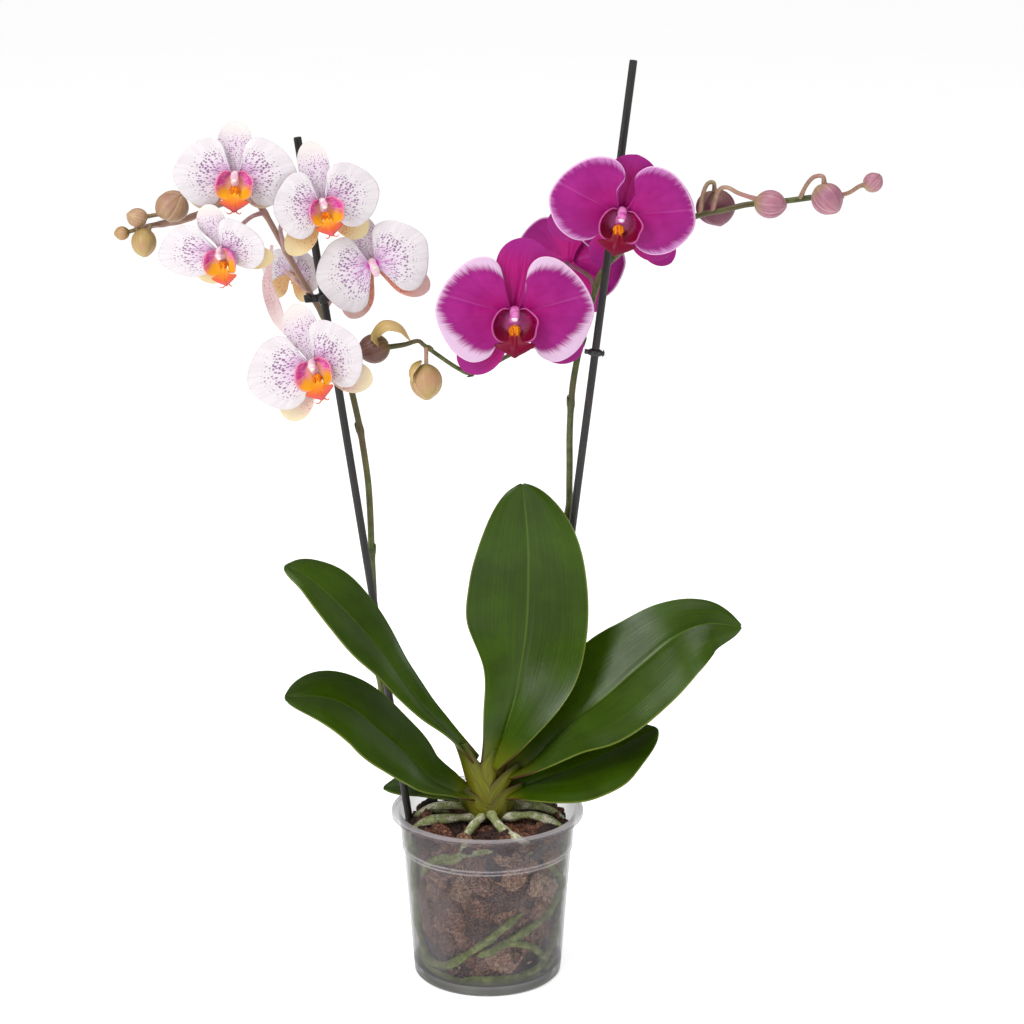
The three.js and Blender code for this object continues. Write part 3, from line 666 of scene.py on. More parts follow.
# %% [markdown]
# ## Roots
#
# An orchid's roots are as thick as a pencil. They leave the foot of the plant, lie over the
# bark and then run down between bark and wall, where they show green through the plastic.
# Each is a lumpy rod whose points on the wall are given by bearing and height. The part of a
# root that is out in the air is silver, and what touches the wet wall is green, so the
# material looks at the height.

# %% Roots
ROOTS = {
    "root_left": (
        3.0,
        [(-5, -5, 103), (-14, -9.5, 105.8), (-24, -12.5, 106.5), (-36, -13, 105), (-44, -13, 100)],
        [(-165, 88), (-169, 66), (-172, 44), (-167, 29), (-152, 16), (-124, 18), (-91, 37), (-61, 54)],
    ),
    "root_front": (
        2.7,
        [(-1, -4, 106), (-4, -12, 106.8), (-9, -22, 105), (-13, -34, 103), (-14, -43, 99)],
        [(-113, 92), (-139, 84), (-150, 72)],
    ),
    "root_right_front": (
        3.0,
        [(1, -4, 107), (3, -12, 108.5), (6, -21, 106.5), (12, -32, 104.5), (21, -40, 102)],
        [(-12, 66), (-16, 56), (-26, 50), (-37, 46), (-55, 41.5), (-78, 33)],
    ),
    "root_right": (
        2.7,
        [(5, -4, 104), (15.5, -8, 106), (28, -9, 107), (38, -12, 105), (46, -12, 100)],
        [
            (2, 88), (8, 66), (4, 44), (-12, 27), (-31, 17),
            (-46, 11.5), (-69, 10.5), (-95, 10.5), (-110, 10.5),
        ],
    ),
}
ROOT_TO_WALL = 1
root_lines = []


def root_points(radius, over, down):
    """The points of a root: those on top, then those on the wall, from the cosine and sine of
    their bearing and their height. Its line is kept, for the chips to avoid."""
    bearing, z = np.radians([one[0] for one in down]), np.array([one[1] for one in down], float)
    reach = WALL_FOOT_RADIUS + wall_slope * z + np.where(z > STEP_HEIGHT + 0.5, STEP_OUT, 0)
    reach = reach - WALL_THICKNESS - radius - ROOT_TO_WALL
    wall = np.stack([reach * np.cos(bearing), reach * np.sin(bearing), z], -1)
    points = np.vstack([np.asarray(over, float).reshape(-1, 3), wall])
    root_lines.append(even_curve(points, steps(120))[0])
    return points


def root_look():
    """Mottled silver above and green below, blended by height in metres, with dark scurf."""
    look = Look("root", roughness=0.7, gloss=0.2)
    where = look.object_place()
    skin = look.use(PATCHES, Place=where, Scale=150.0, Low=0.42, High=0.6)
    fine = look.noise(where, 900, 3)
    silver = look.over((150, 158, 104), (206, 202, 178), skin["Mask"])
    green = look.over((94, 110, 42), (140, 150, 86), skin["Mask"])
    whole = look.over(green, silver, look.between(look.axis(where, "Z"), 0.088, 0.103))
    look.bump(look.plus(fine, skin["Mask"]), 0.5, 0.0008)
    return look.finish(look.over(whole, (80, 84, 48), look.between(fine, 0.47, 0.6), 0.55))


ROOT = root_look()
for number, (name, (radius, over, down)) in enumerate(ROOTS.items()):
    points = root_points(radius, over, down)
    rows = 18 * len(points)
    t = steps(rows)
    thickness = radius * mix(1, 0.8, t) * (1 - 0.75 * smooth((t - 0.94) / 0.06) ** 2)
    knobs = 1 + 0.12 * np.sin(t * rows * 0.33 + number) * np.sin(t * rows * 0.11 + 2 * number)
    root = tube(points, thickness * knobs, rows, 24, lumps=0.15, seed=number + 1)
    show(f"{name}_skin", [root], ROOT, name)
    print(name, "length in mm:", round(curve_length(root_lines[-1])))

# %% [markdown]
# Between the thick roots there are thinner ones, most of them along the wall. They are made
# the same way, taper at both ends and share one object.

# %% Thinner roots
MORE_ROOTS = [
    (2.6, [(-6, 2, 106), (-16, 0, 110), (-27, 3, 109), (-38, 6, 105), (-45, 8, 99)], [(172, 92), (176, 82)]),
    (2.2, [(8, 4, 105), (20, 3, 108.5), (32, 4, 108), (42, 8, 103)], [(14, 94), (18, 84)]),
    (2.3, [], [(-98, 27), (-86, 30), (-76, 35), (-62, 33), (-47, 27), (-34, 18), (-30, 13)]),
    (1.8, [(-20, -30, 99)], [(-138, 84), (-126, 91), (-112, 95), (-96, 98), (-86, 99)]),
    (2.0, [(-10, 18, 104), (-14, 34, 101)], [(115, 92), (122, 70), (105, 48), (80, 30), (64, 16), (40, 12)]),
    (2.0, [(12, 16, 104), (26, 30, 101)], [(38, 88), (30, 66), (44, 44), (60, 34), (98, 24), (130, 14)]),
    (1.7, [(-24, 8, 103), (-38, 14, 100)], [(158, 86), (168, 60), (150, 38), (140, 22)]),
    (1.9, [], [(-14, 12), (-38, 8.8), (-62, 8.2), (-90, 8.2), (-118, 8.6), (-146, 11), (-165, 20)]),
]
more = []
for number, (radius, over, down) in enumerate(MORE_ROOTS):
    points = root_points(radius, over, down)
    t = steps(90)
    ends = smooth(t / 0.05) * smooth((1 - t) / 0.05)
    more.append(tube(points, radius * (0.25 + 0.75 * ends), len(t), 16, lumps=0.18, seed=20 + number))
show("more_roots", more, ROOT)
print("roots:", len(ROOTS) + len(MORE_ROOTS))

# %% [markdown]
# ## Bark
#
# The pot is filled with chips of bark. A chip is a ball pushed towards a box and roughened,
# with only a few dozen faces, since there are hundreds. Large chips stand against the wall
# and smaller ones lie on top. A chip that would hide a root is pushed further inside. A dark
# core behind them closes the gaps between the chips.


# %% One chip of bark
def squarer(value, power=0.5):
    """A cosine or sine pushed towards 1 or -1: its size to a power below 1, with its sign."""
    return np.sign(value) * np.abs(value) ** power


def chip(centre, half, turn, seed):
    """A rough chip: a ball pushed towards a box. half is its three half sizes and turn a 3 by 3
    matrix of its directions. Its two UV numbers are random and the same all over."""
    own = np.random.default_rng(seed)
    rows, corners = 8, 12
    along = np.linspace(0.04, 0.96, rows)[:, None]
    angle = circle_angles(corners)[None, :]
    shape = np.stack(
        [
            np.sin(math.pi * along) * np.cos(angle),
            np.sin(math.pi * along) * np.sin(angle),
            np.broadcast_to(-np.cos(math.pi * along), (rows, corners)),
        ],
        -1,
    )
    rough = 1 + own.uniform(-0.13, 0.13, (rows, corners, 1))
    rings = (squarer(shape, 0.6) * rough * half) @ turn + centre
    return solid(rings, np.full((rows, 1), own.uniform(0, 1)), np.full((1, corners), own.uniform(0, 1)))


def chip_turn(out, roll):
    """Directions of a chip that lies flat against something: its thin side points out."""
    out = unit(out)
    upright = [0.0, 0.0, 1.0] if abs(out[2]) < 0.9 else [0.0, 1.0, 0.0]
    level = unit(np.cross(upright, out))
    rise = np.cross(out, level)
    cosine, sine = math.cos(roll), math.sin(roll)
    return np.array([cosine * level + sine * rise, cosine * rise - sine * level, out])


print("a chip has", len(chip(np.zeros(3), np.ones(3), np.eye(3), 0)[1]), "faces")

# %% [markdown]
# The chips against the wall and on top are placed by the golden angle: each one is turned
# that much further round than the one before, which spreads them without rows or gaps.

# %% Chips of bark
GOLDEN_ANGLE = math.pi * (3 - math.sqrt(5))
root_cloud = np.vstack(root_lines)


def from_roots(centre):
    """The distance from a point to the nearest root's line."""
    return np.linalg.norm(root_cloud - centre, axis=1).min()


def wall_chips(count):
    """Chips that stand against the wall, at bearings that are a golden angle apart."""
    chips = []
    for number in range(count):
        z = mix(13, 96, (number + 0.5) / count) + chance.uniform(-3, 3)
        bearing = number * GOLDEN_ANGLE + chance.uniform(-0.1, 0.1)
        half = np.array([chance.uniform(8, 19), chance.uniform(6, 12), chance.uniform(2.5, 4.5)])
        out = np.array([math.cos(bearing), math.sin(bearing), 0])
        flat = wall_radius(z) - WALL_THICKNESS - 0.8
        sag = half[0] ** 2 / (2 * flat)
        reach = flat - sag * 0.5 - half[2] * 1.15 - chance.uniform(0, 4.5)
        centre = out * reach + np.array([0, 0, np.clip(z, 8.5 + half[1], 97)])
        if from_roots(centre) < half[1] + 4:
            centre = centre - out * 4.2
        lean = out + np.array([0, 0, chance.uniform(-0.2, 0.2)])
        chips.append(chip(centre, half, chip_turn(lean, chance.uniform(-1.3, 1.3)), 1000 + number))
    return chips


def top_chips(count):
    """Smaller chips that lie on top, spread like the seeds of a sunflower: the distance from
    the middle grows with the root of the number."""
    chips = []
    for number in range(count):
        reach = 49 * math.sqrt((number + 0.5) / count)
        bearing = number * GOLDEN_ANGLE
        half = np.array([chance.uniform(3, 7.5), chance.uniform(2.5, 5), chance.uniform(1.4, 2.8)])
        reach = min(reach, 52 - half[0])
        z = 98.5 + chance.uniform(-1, 1.8)
        centre = np.array([reach * math.cos(bearing), reach * math.sin(bearing), z])
        if from_roots(centre) < half[0] + 2:
            centre[2] -= 1.8
        lean = np.array([chance.uniform(-0.5, 0.5), chance.uniform(-0.5, 0.5), 1.0])
        chips.append(chip(centre, half, chip_turn(lean, chance.uniform(0, 6.3)), 5000 + number))
    return chips


# %% The look of bark
def bark_look():
    """Every chip has its own brown, from the two random numbers in its UV map, and about a
    third of the chips are wet and nearly black. The chips on top are redder."""
    look = Look("bark", gloss=0.25)
    where = look.object_place()
    own, other = look.place()
    grain = look.use(PATCHES, Place=where, Scale=130.0, Low=0.35, High=0.7)
    crumbs = look.use(PATCHES, Place=where, Scale=420.0, Low=0.42, High=0.6)
    fine = look.noise(where, 900, 4, 0.6)
    share = look.plus(look.times(own, 0.5), look.times(grain["Height"], 0.6))
    stops = [(0.2, (70, 46, 38)), (0.42, (134, 92, 74)), (0.62, (172, 128, 106)), (0.85, (206, 172, 144))]
    on_top = look.between(look.axis(where, "Z"), 0.094, 0.098)
    shade = look.over(look.ramp(share, stops), (112, 46, 22), on_top, 0.6)
    wet = look.times(look.between(other, 0.58, 0.74), 0.85)
    shade = look.over(shade, (42, 36, 38), wet)
    shade = look.over(shade, (72, 50, 42), crumbs["Mask"], 0.5)
    pale = look.times(look.between(fine, 0.48, 0.38), look.less(1.0, wet))
    shade = look.over(shade, (196, 164, 138), pale, 0.4)
    look.link(look.blend(wet, (0.85, 0.85, 0.85, 1), (0.5, 0.5, 0.5, 1)), "Roughness")
    relief = look.plus(crumbs["Height"], look.times(fine, 0.6))
    look.bump(look.plus(grain["Mask"], relief), 1.0, 0.002)
    return look.finish(look.over(shade, (34, 22, 18), look.between(fine, 0.5, 0.6), 0.7))


BARK = bark_look()
core = turned([(0, 8.5), (38, 8.5), (44, 80), (43, 93), (30, 96.5), (0, 97)], 48)
show("bark_core", [core], BARK, "bark")
chips = show("bark_chips", wall_chips(300) + top_chips(300), BARK)
print("bark chips:", len(chips.data.polygons), "faces")

# %% [markdown]
# ## Stakes and clips
#
# The stakes are moulded rods with fine ridges along them, so the circle gets a small wave.
# Their tops are cut off flat.

# %% Stakes
STAKE_RADIUS = 2.4
STAKE_RIDGES = 10
RIDGE_HEIGHT = 0.035
LEFT_STAKE = [(-40.7, 4, 42), (-112, 4, 531)]
RIGHT_STAKE = [(23.6, 30, 42), (88, 30, 573)]


def stake(line):
    """A straight rod whose radius goes up and down with the cosine of ten times the angle."""
    start, end = np.asarray(line, float)
    up = unit(end - start)
    side = unit(np.cross(up, [0, 1, 0]))
    angle = circle_angles(60)
    t = np.array([0, 0.002, 0.5, 0.998, 1.0])
    ridged = STAKE_RADIUS * (1 - RIDGE_HEIGHT + RIDGE_HEIGHT * np.cos(STAKE_RIDGES * angle))
    reach = np.array([0.8, 1, 1, 1, 0.94])[:, None] * ridged[None, :]
    centre = start + (end - start) * t[:, None]
    rings = laid_out(centre, side, reach * np.cos(angle), np.cross(up, side), reach * np.sin(angle))
    return solid(rings, t[:, None], far_side(angle))


def stake_look():
    """Nearly black with brown streaks: noise that is drawn out eight times along Z."""
    look = Look("stake", roughness=0.5)
    stretched = look.add("Mapping", Vector=look.object_place(), Scale=(1.0, 1.0, 0.12))
    streaks = look.noise(stretched.outputs["Vector"], 420, 3)
    shade = look.ramp(streaks, [(0.3, (14, 12, 10)), (0.6, (28, 24, 20)), (0.8, (52, 46, 42))])
    look.bump(streaks, 0.25, 0.0004)
    return look.finish(shade)


STAKE = stake_look()
for name, line in (("stake_left", LEFT_STAKE), ("stake_right", RIGHT_STAKE)):
    show(f"{name}_rod", [stake(line)], STAKE, name, sharp=40)
    print(name, "length in mm:", round(math.dist(*line)))

# %% [markdown]
# The clips are soft black plastic: a ring round the stake with a short arm to the spike.
# Each is drawn flat round its own origin, and a matrix carries it to its height on the stake.


# %% Clips
CLIP_SLIT = 0.12


def frame_at(line, height):
    """A 4 by 4 matrix at a height on a stake, with Z along the stake."""
    start, end = np.asarray(line, float)
    up = unit(end - start)
    side = unit(np.cross([0, 1, 0], up))
    matrix = np.eye(4)
    matrix[:3, 0], matrix[:3, 1], matrix[:3, 2] = side, np.cross(up, side), up
    matrix[:3, 3] = start + (end - start) * (height - start[2]) / (end[2] - start[2])
    return matrix


def ring_part(inner, outer, height, corners=40):
    """A ring round Z with rounded edges and a narrow slit. Its section is a loop that is
    carried round, each time turned by the sweep's cosine and sine."""
    angle = circle_angles(24)
    middle, half = (inner + outer) / 2, (outer - inner) / 2
    across = middle + half * squarer(np.cos(angle))
    rise = height / 2 * squarer(np.sin(angle))
    sweep = np.linspace(0.0, math.tau - CLIP_SLIT, corners)[:, None]
    level = np.broadcast_to(rise, (corners, len(angle)))
    rings = np.stack([across * np.cos(sweep), across * np.sin(sweep), level], -1)
    return solid(rings, steps(corners)[:, None], far_side(angle))


def bar(start, end, half_width, half_height):
    """A short bar with rounded edges, in the XY plane: one section carried from start to end."""
    start, end = np.asarray(start, float), np.asarray(end, float)
    direction = unit(end - start)
    side = np.array([-direction[1], direction[0], 0])
    angle = circle_angles(20)
    x, y = half_width * squarer(np.cos(angle)), half_height * squarer(np.sin(angle))
    t = np.array([0, 0.06, 0.5, 0.94, 1])
    size = np.array([0.7, 1, 1, 1, 0.7])[:, None]
    centre = start + (end - start) * t[:, None]
    rings = laid_out(centre, side, x * size, np.array([0, 0, 1.0]), y * size)
    return solid(rings, t[:, None], far_side(angle))


def clip_look():
    """Black with a faint cloudy grain."""
    look = Look("clip", roughness=0.38)
    grain = look.noise(look.object_place(), 500, 3)
    look.bump(grain, 0.1, 0.0003)
    return look.finish(look.ramp(grain, [(0.3, (26, 24, 26)), (0.8, (48, 45, 48))]))


left_clip = [
    ring_part(2.6, 4.4, 5),
    bar((-3.5, -1.5, 0.4), (-11.5, -2.5, 1.2), 1.1, 2.4),
    bar((-7, -2, 2), (-9.5, -3.4, 3.6), 1.3, 1.6),
    bar((3.6, -1, 0), (6.8, -1.4, 0.6), 1.0, 2.1),
    bar((-2.5, -3.6, -0.4), (2.2, -3.9, 0), 1.0, 2.9),
]
right_clip = [
    ring_part(2.6, 4.2, 3.4),
    bar((-3.4, -0.6, 0), (-6.6, -0.8, 0.2), 1.0, 1.5),
    bar((3.4, -0.6, 0), (5.8, -0.6, 0), 1.0, 1.4),
    bar((4.6, -0.6, 0), (5.2, -0.6, 0), 1.2, 2.3),
]
CLIP = clip_look()
for name, parts, line, height in (
    ("clip_left", left_clip, LEFT_STAKE, 434),
    ("clip_right", right_clip, RIGHT_STAKE, 394),
):
    show(f"{name}_shape", moved(parts, frame_at(line, height)), CLIP, name)
    print(name, "height in mm:", height)

# %% [markdown]
# ## Leaves
#
# A leaf follows its midrib. At each place on the midrib there is a direction along it, a
# direction that the upper face looks in, and a direction across, which is at right angles
# to both. Points of the leaf lie across from the midrib, at distances that come from a table
# of half-widths for each side, because no leaf is quite symmetrical. The halves are folded
# up into a V at the base and open out flat, and a groove follows the midrib.

# %% Points and widths of the leaves
LEAF_THICKNESS = 2.2
GROOVE_DEPTH = 1.1
GROOVE_WIDTH = 1.6
FOLD_WIDTH = 1.5
FOLD_AT_TIP = 0.12
LEAVES = {
    "leaf_centre": dict(
        midrib=[
            (2, -4, 138), (10, -2, 158), (18, 3, 185), (24, 8, 222),
            (25.5, 12, 254), (25, 14, 281), (22, 16, 314),
        ],
        facing=[(-0.1, -1, 0.2), (0, -1, 0.15)],
        near=[8, 24.3, 36, 38.3, 37.2, 33.1, 25],
        far=[8, 18, 23, 37.2, 37.2, 32, 25],
        fold=0.75,
    ),
    "leaf_right": dict(
        midrib=[
            (13, -3, 131), (28, 0, 140), (50, 3, 163), (71, 6, 178),
            (95, 10, 199), (116, 14, 216), (136, 19, 223), (158, 24, 220),
        ],
        facing=[(-0.6, -0.6, 0.6), (-0.15, -0.85, 0.5)],
        near=[8, 26, 33.5, 35.3, 33.2, 27.4, 16],
        far=[8, 22.5, 32, 35.8, 29.6, 22.3, 13],
        fold=0.6,
    ),
    "leaf_right_low": dict(
        midrib=[(12, -3, 118), (33, -2, 128), (58, -1, 137), (83, 5, 147), (106, 13, 156)],
        facing=[(-0.5, -0.5, 0.8), (-0.3, -0.6, 0.75)],
        near=[8, 24, 27.5, 31, 30, 21, 14],
        far=[8, 14, 18, 22, 22, 19, 14],
        fold=0.5,
    ),
    "leaf_left": dict(
        midrib=[
            (-8, -3, 140), (-25, -12, 164), (-39, -19, 181), (-51, -24, 199),
            (-66, -29, 223), (-88, -33, 250), (-107, -35, 269), (-121, -37, 277),
        ],
        facing=[(0.7, -0.4, 0.6), (0.55, -0.36, 0.75)],
        near=[6, 7, 14, 19.5, 26.5, 29, 18],
        far=[6, 8, 12, 18.5, 28.5, 26, 18],
        fold=0.6,
    ),
    "leaf_left_low": dict(
        midrib=[
            (-10, -5, 118), (-21, -11, 124), (-36, -17, 134), (-49, -22, 151),
            (-65, -28, 168), (-82, -33, 185), (-100, -37, 194), (-122, -40, 195),
        ],
        facing=[(0.5, -0.3, 0.8), (0.15, -0.4, 0.95)],
        near=[7, 17, 24, 30.2, 28.6, 26.8, 24],
        far=[7, 14, 29, 34.3, 36.7, 30.8, 16],
        fold=0.5,
    ),
    "leaf_left_small": dict(
        midrib=[(-9, 9, 108), (-25, 18, 112), (-45, 22, 115), (-65, 21, 114)],
        facing=[(0.3, -0.3, 0.9), (0, -0.35, 0.95)],
        near=[6, 8, 10, 11, 11.5, 11, 8],
        far=[6, 8, 10, 11, 11.5, 11, 8],
        fold=0.3,
    ),
}
print("leaves:", list(LEAVES))


# %% The shape of a leaf
def table_value(table, t):
    """A value between the entries of a table whose steps are equal."""
    return curve_points([(step, value) for step, value in enumerate(table)], t)[:, 1]


def closer_at_tip(count, power):
    """Rows from 0 to 1 that get closer towards 1: 1 less a power of what is left."""
    return 1 - (1 - steps(count)) ** power


def closer_at_margins(count):
    """Columns from 0 to 1 that get closer at both margins, like the shadow of a half circle."""
    return (1 - np.cos(np.linspace(0, math.pi, count))) / 2


def square_to(direction, facing):
    """For each row of a blade, the direction nearest to facing that is at right angles to the
    midrib, and the direction across, at right angles to both."""
    face = unit(facing - direction * (facing * direction).sum(1, keepdims=True))
    return face, np.cross(face, direction)


def leaf_blade(midrib, facing, near, far, fold, seed):
    """One leaf as a closed solid, its tip rounded by the root of 1 less u to the 8th. Its rise
    above the midrib is the fold and a slow sway, less the groove and the drooping margins."""
    u, v = closer_at_tip(120, 1.7), closer_at_margins(49)
    spine, direction = even_curve(midrib, u)
    face, across = square_to(direction, mix(*np.asarray(facing, float), u[:, None]))
    side = 2 * v[None, :] - 1
    round_tip = np.sqrt(np.maximum(1 - u**8, 0.0015))
    near, far = (table_value(half, u) * round_tip for half in (near, far))
    offset = side * np.where(side < 0, near[:, None], far[:, None])
    angle = mix(fold, FOLD_AT_TIP, smooth(2 * u))[:, None]
    soft = np.sqrt(offset**2 + FOLD_WIDTH**2) - FOLD_WIDTH
    past_base = smooth(u / 0.3)[:, None]
    sway = 0.9 * waves(u[:, None] * curve_length(spine) / 30, side * 1.2, seed) * side**2 * past_base
    groove = GROOVE_DEPTH * np.exp(-((offset / GROOVE_WIDTH) ** 2)) * (1 - 0.7 * u[:, None])
    droop = 0.9 * smooth((np.abs(side) - 0.55) / 0.45) * past_base
    rise = soft * np.sin(angle) + sway - groove - droop
    return blade(laid_out(spine, across, offset * np.cos(angle), face, rise), u, v, LEAF_THICKNESS)


# %% The look of the leaves
def leaf_look():
    """Dark green in soft patches with fine veins, yellower at the base, paler on the midrib and
    on the very margin, and purple on the margins near the base."""
    look = Look("leaf", gloss=0.23)
    u, v = look.place()
    where = look.object_place()
    from_margin = look.use(MARGIN, V=v)["Distance"]
    veins = look.use(VEINS, U=u, V=v, Lines=60.0, Stretch=1.5, Low=0.4, High=0.7)
    patches = look.use(PATCHES, Place=where, Scale=20.0, Low=0.32, High=0.7)
    green = look.over((38, 58, 0), (52, 78, 2), patches["Mask"])
    green = look.over(green, (78, 102, 18), veins["Mask"], 0.16)
    green = look.over(green, (100, 106, 20), look.between(u, 0.14, 0.0), 0.8)
    green = look.over(green, (96, 118, 44), look.between(from_margin, 0.97, 0.99), 0.35)
    green = look.over(green, (112, 124, 40), look.between(from_margin, 0.03, 0.008), 0.55)
    purple = look.times(look.between(from_margin, 0.12, 0.03), look.between(u, 0.16, 0.03))
    sheen = look.noise(where, 45, 3)
    look.link(look.plus(0.2, look.times(sheen, 0.22)), "Roughness")
    look.bump(look.plus(veins["Height"], look.times(sheen, 0.8)), 0.16, 0.0009)
    return look.finish(look.over(green, (70, 34, 26), purple))


LEAF = leaf_look()
for number, (name, shape) in enumerate(LEAVES.items()):
    leaf = show(f"{name}_blade", [leaf_blade(**shape, seed=60 + number)], LEAF, name)
    print(name, "length in mm:", round(max(leaf.dimensions) * 1000))

# %% [markdown]
# ## The crown
#
# Each leaf ends below in a sheath that clasps the short stem: the leaf's V closes into a C
# and then nearly into a tube. So a sheath is made like a leaf, but each of its rows is an
# arc. The arc bends round the stem, with a wide angle at the foot and a small one where the
# leaf begins. The sheaths are yellow green with thin purple brown edges.

# %% The crown
SHEATH_THICKNESS = 1.7
CROWN_LUMPS = [
    # place, radii and lean in radians
    ((0, 0, 107), (11, 9, 9), 0),
    ((-7, -2, 116), (11, 7.5, 12), -0.75),
    ((8, -2, 115), (11, 7, 11), 0.8),
    ((-5, -1, 128), (8.5, 7, 15), -0.5),
    ((5, 0, 133), (7, 6, 14), 0.3),
]
SHEATHS = [
    # leaf, points of the keel below it, radius at the foot, half angle there, and where it
    # ends, as a share of the leaf's first piece
    ("leaf_left_low", [(-2, -9.5, 104), (-7, -10, 110), (-12, -9, 117)], 9.5, 1.5, 0.6),
    ("leaf_right_low", [(6, -9, 104), (10, -9, 110), (13, -7, 117)], 8.5, 1.4, 0.5),
    ("leaf_left", [(-1, -10, 112), (-5, -10, 122), (-10, -8, 134)], 8.8, 1.7, 0.55),
    ("leaf_right", [(5, -9, 113), (9, -8, 121), (14, -6, 130)], 7.8, 1.5, 0.5),
    ("leaf_centre", [(2, -8.5, 122), (2, -8, 130), (2, -7, 138)], 6.6, 1.6, 0.5),
]


def crown_lump(centre, radii, lean):
    """A stretched ball that leans about the Y axis, a little slimmer than the sheaths round it."""
    lump = ball((0, 0, 0), np.asarray(radii, float) - 0.9, rows=28, corners=40)
    turn = turn_about(1, math.degrees(lean))
    turn[:3, 3] = centre
    return moved([lump], turn)[0]


def sheath(leaf, keel, foot_radius, foot_angle, share):
    """The clasping base of a leaf. Each row is an arc of a circle, whose middle is the keel:
    sines of the angle go across and 1 less the cosines go towards the stem."""
    midrib = np.asarray(LEAVES[leaf]["midrib"], float)
    end = mix(midrib[0], midrib[1], share)
    u, v = steps(44), steps(41)
    spine, direction = even_curve([*keel, end], u)
    inward = unit([-0.15 * keel[0][0], 1.0, 0.25])
    facing = mix(inward, unit(LEAVES[leaf]["facing"][0]) * 0.3 + inward * 0.7, smooth(u)[:, None])
    toward, across = square_to(direction, facing)
    radius = mix(foot_radius, 6.6, smooth(u))[:, None]
    angle = (2 * v[None, :] - 1) * mix(foot_angle, 0.9, smooth(u * 1.05))[:, None]
    grid = laid_out(spine, toward, radius * (1 - np.cos(angle)), across, radius * np.sin(angle))
    return blade(grid, u, v, SHEATH_THICKNESS, 0.4)


def crown_look(name, low, high):
    """Streaked green that ends in a purple line, with painted shade that darkens it towards the
    margins of a sheath, where the sheaths curl in between each other.
    """
    look = Look(name, roughness=0.42, gloss=0.25)
    u, v = look.place()
    from_margin = look.use(MARGIN, V=v)["Distance"]
    streaks = look.use(VEINS, U=u, V=v, Lines=50.0, Stretch=2.0, Low=0.35, High=0.7)
    spots = look.use(PATCHES, Place=look.object_place(), Scale=90.0, Low=0.5, High=0.75)["Mask"]
    green = look.over(low, high, streaks["Mask"])
    green = look.over(green, (62, 78, 12), look.between(u, 0.55, 1.0))
    # painted shade: darker olive towards the margins, where the sheaths curl in between each other
    green = look.over(green, (62, 62, 16), look.between(from_margin, 0.55, 0.1), 0.7)
    green = look.over(green, (100, 74, 26), spots, 0.4)
    look.bump(streaks["Height"], 0.12, 0.0005)
    return look.finish(look.over(green, (66, 30, 22), look.between(from_margin, 0.09, 0.03)))


CROWN = crown_look("crown", (88, 90, 12), (126, 122, 26))
# The stem gets a darker copy of the crown's finish: painted shade, since it shows only in the gaps between
# the sheaths.
SHADED_STEM = crown_look("crown_foot", (72, 76, 14), (104, 100, 24))
show("crown_stem", [crown_lump(*lump) for lump in CROWN_LUMPS], SHADED_STEM, "crown")
sheaths = show("crown_sheaths", [sheath(*one) for one in SHEATHS], CROWN)
print("crown width in mm:", round(sheaths.dimensions[0] * 1000))

# %% [markdown]
# ## Places of flowers and buds
#
# A flower has its own directions: X to the viewer's right, Y up and Z out of its face. A
# matrix carries them to the plant: it scales, rolls, tips up, turns and then moves. The
# same numbers tell where each stalk has to end, just behind its flower.

# %% Places of flowers and buds
FLOWERS = {
    # place, turn, lean, roll, scale, angle and length of the upper and both side sepals
    "white_flower_1": ((-146.5, -32, 514), 0, 0, 0, 1.0, [(90, 39), (210, 39.5), (326, 35)]),
    "white_flower_2": ((-96, -31, 498), 16, 0, -10, 0.94, [(90, 48), (230, 48), (314, 47)]),
    "white_flower_3": ((-154.6, -44, 472.5), -12, -24, -13, 0.92, [(90, 38), (226, 44), (329, 41)]),
    "white_flower_4": ((-67.5, -14, 458.5), 8, 0, -20, 0.96, [(90, 38), (229, 48), (312, 51)]),
    "white_flower_5": ((-102, -40, 403), -6, 0, -22, 1.04, [(88, 44), (223, 48), (319, 43)]),
    "white_flower_6": ((-119, 38.5, 442), 150, 0, 0, 0.6, [(90, 42), (230, 42), (310, 42)]),
    "magenta_flower_1": ((80, -20, 490), 0, -8, 12, 0.97, [(86, 36), (206, 46), (327, 42)]),
    "magenta_flower_2": ((17, -22, 430), 0, 0, 0, 1.04, [(80, 43), (230, 46), (325, 46)]),
    "magenta_flower_3": ((51, 74, 442), 160, 0, 0, 0.8, [(90, 42), (232, 45), (308, 45)]),
    "magenta_flower_4": ((89, 52, 476), 180, 0, 0, 0.84, [(90, 42), (232, 45), (308, 45)]),
}
LOWER_HALF = {"magenta_flower_1": 0.78, "white_flower_1": 0.9, "white_flower_3": 0.85, "white_flower_4": 1.3}
PETAL_WIDTHS = {"white_flower_2": (1.03, 0.86), "white_flower_3": (0.84, 1.18), "white_flower_5": (0.82, 1.1)}
CLOSED_TOP = {"magenta_flower_1"}
LIP_LOST = {"white_flower_4"}
FLOWER_SIZE = {"white": 0.8, "magenta": 1.0}
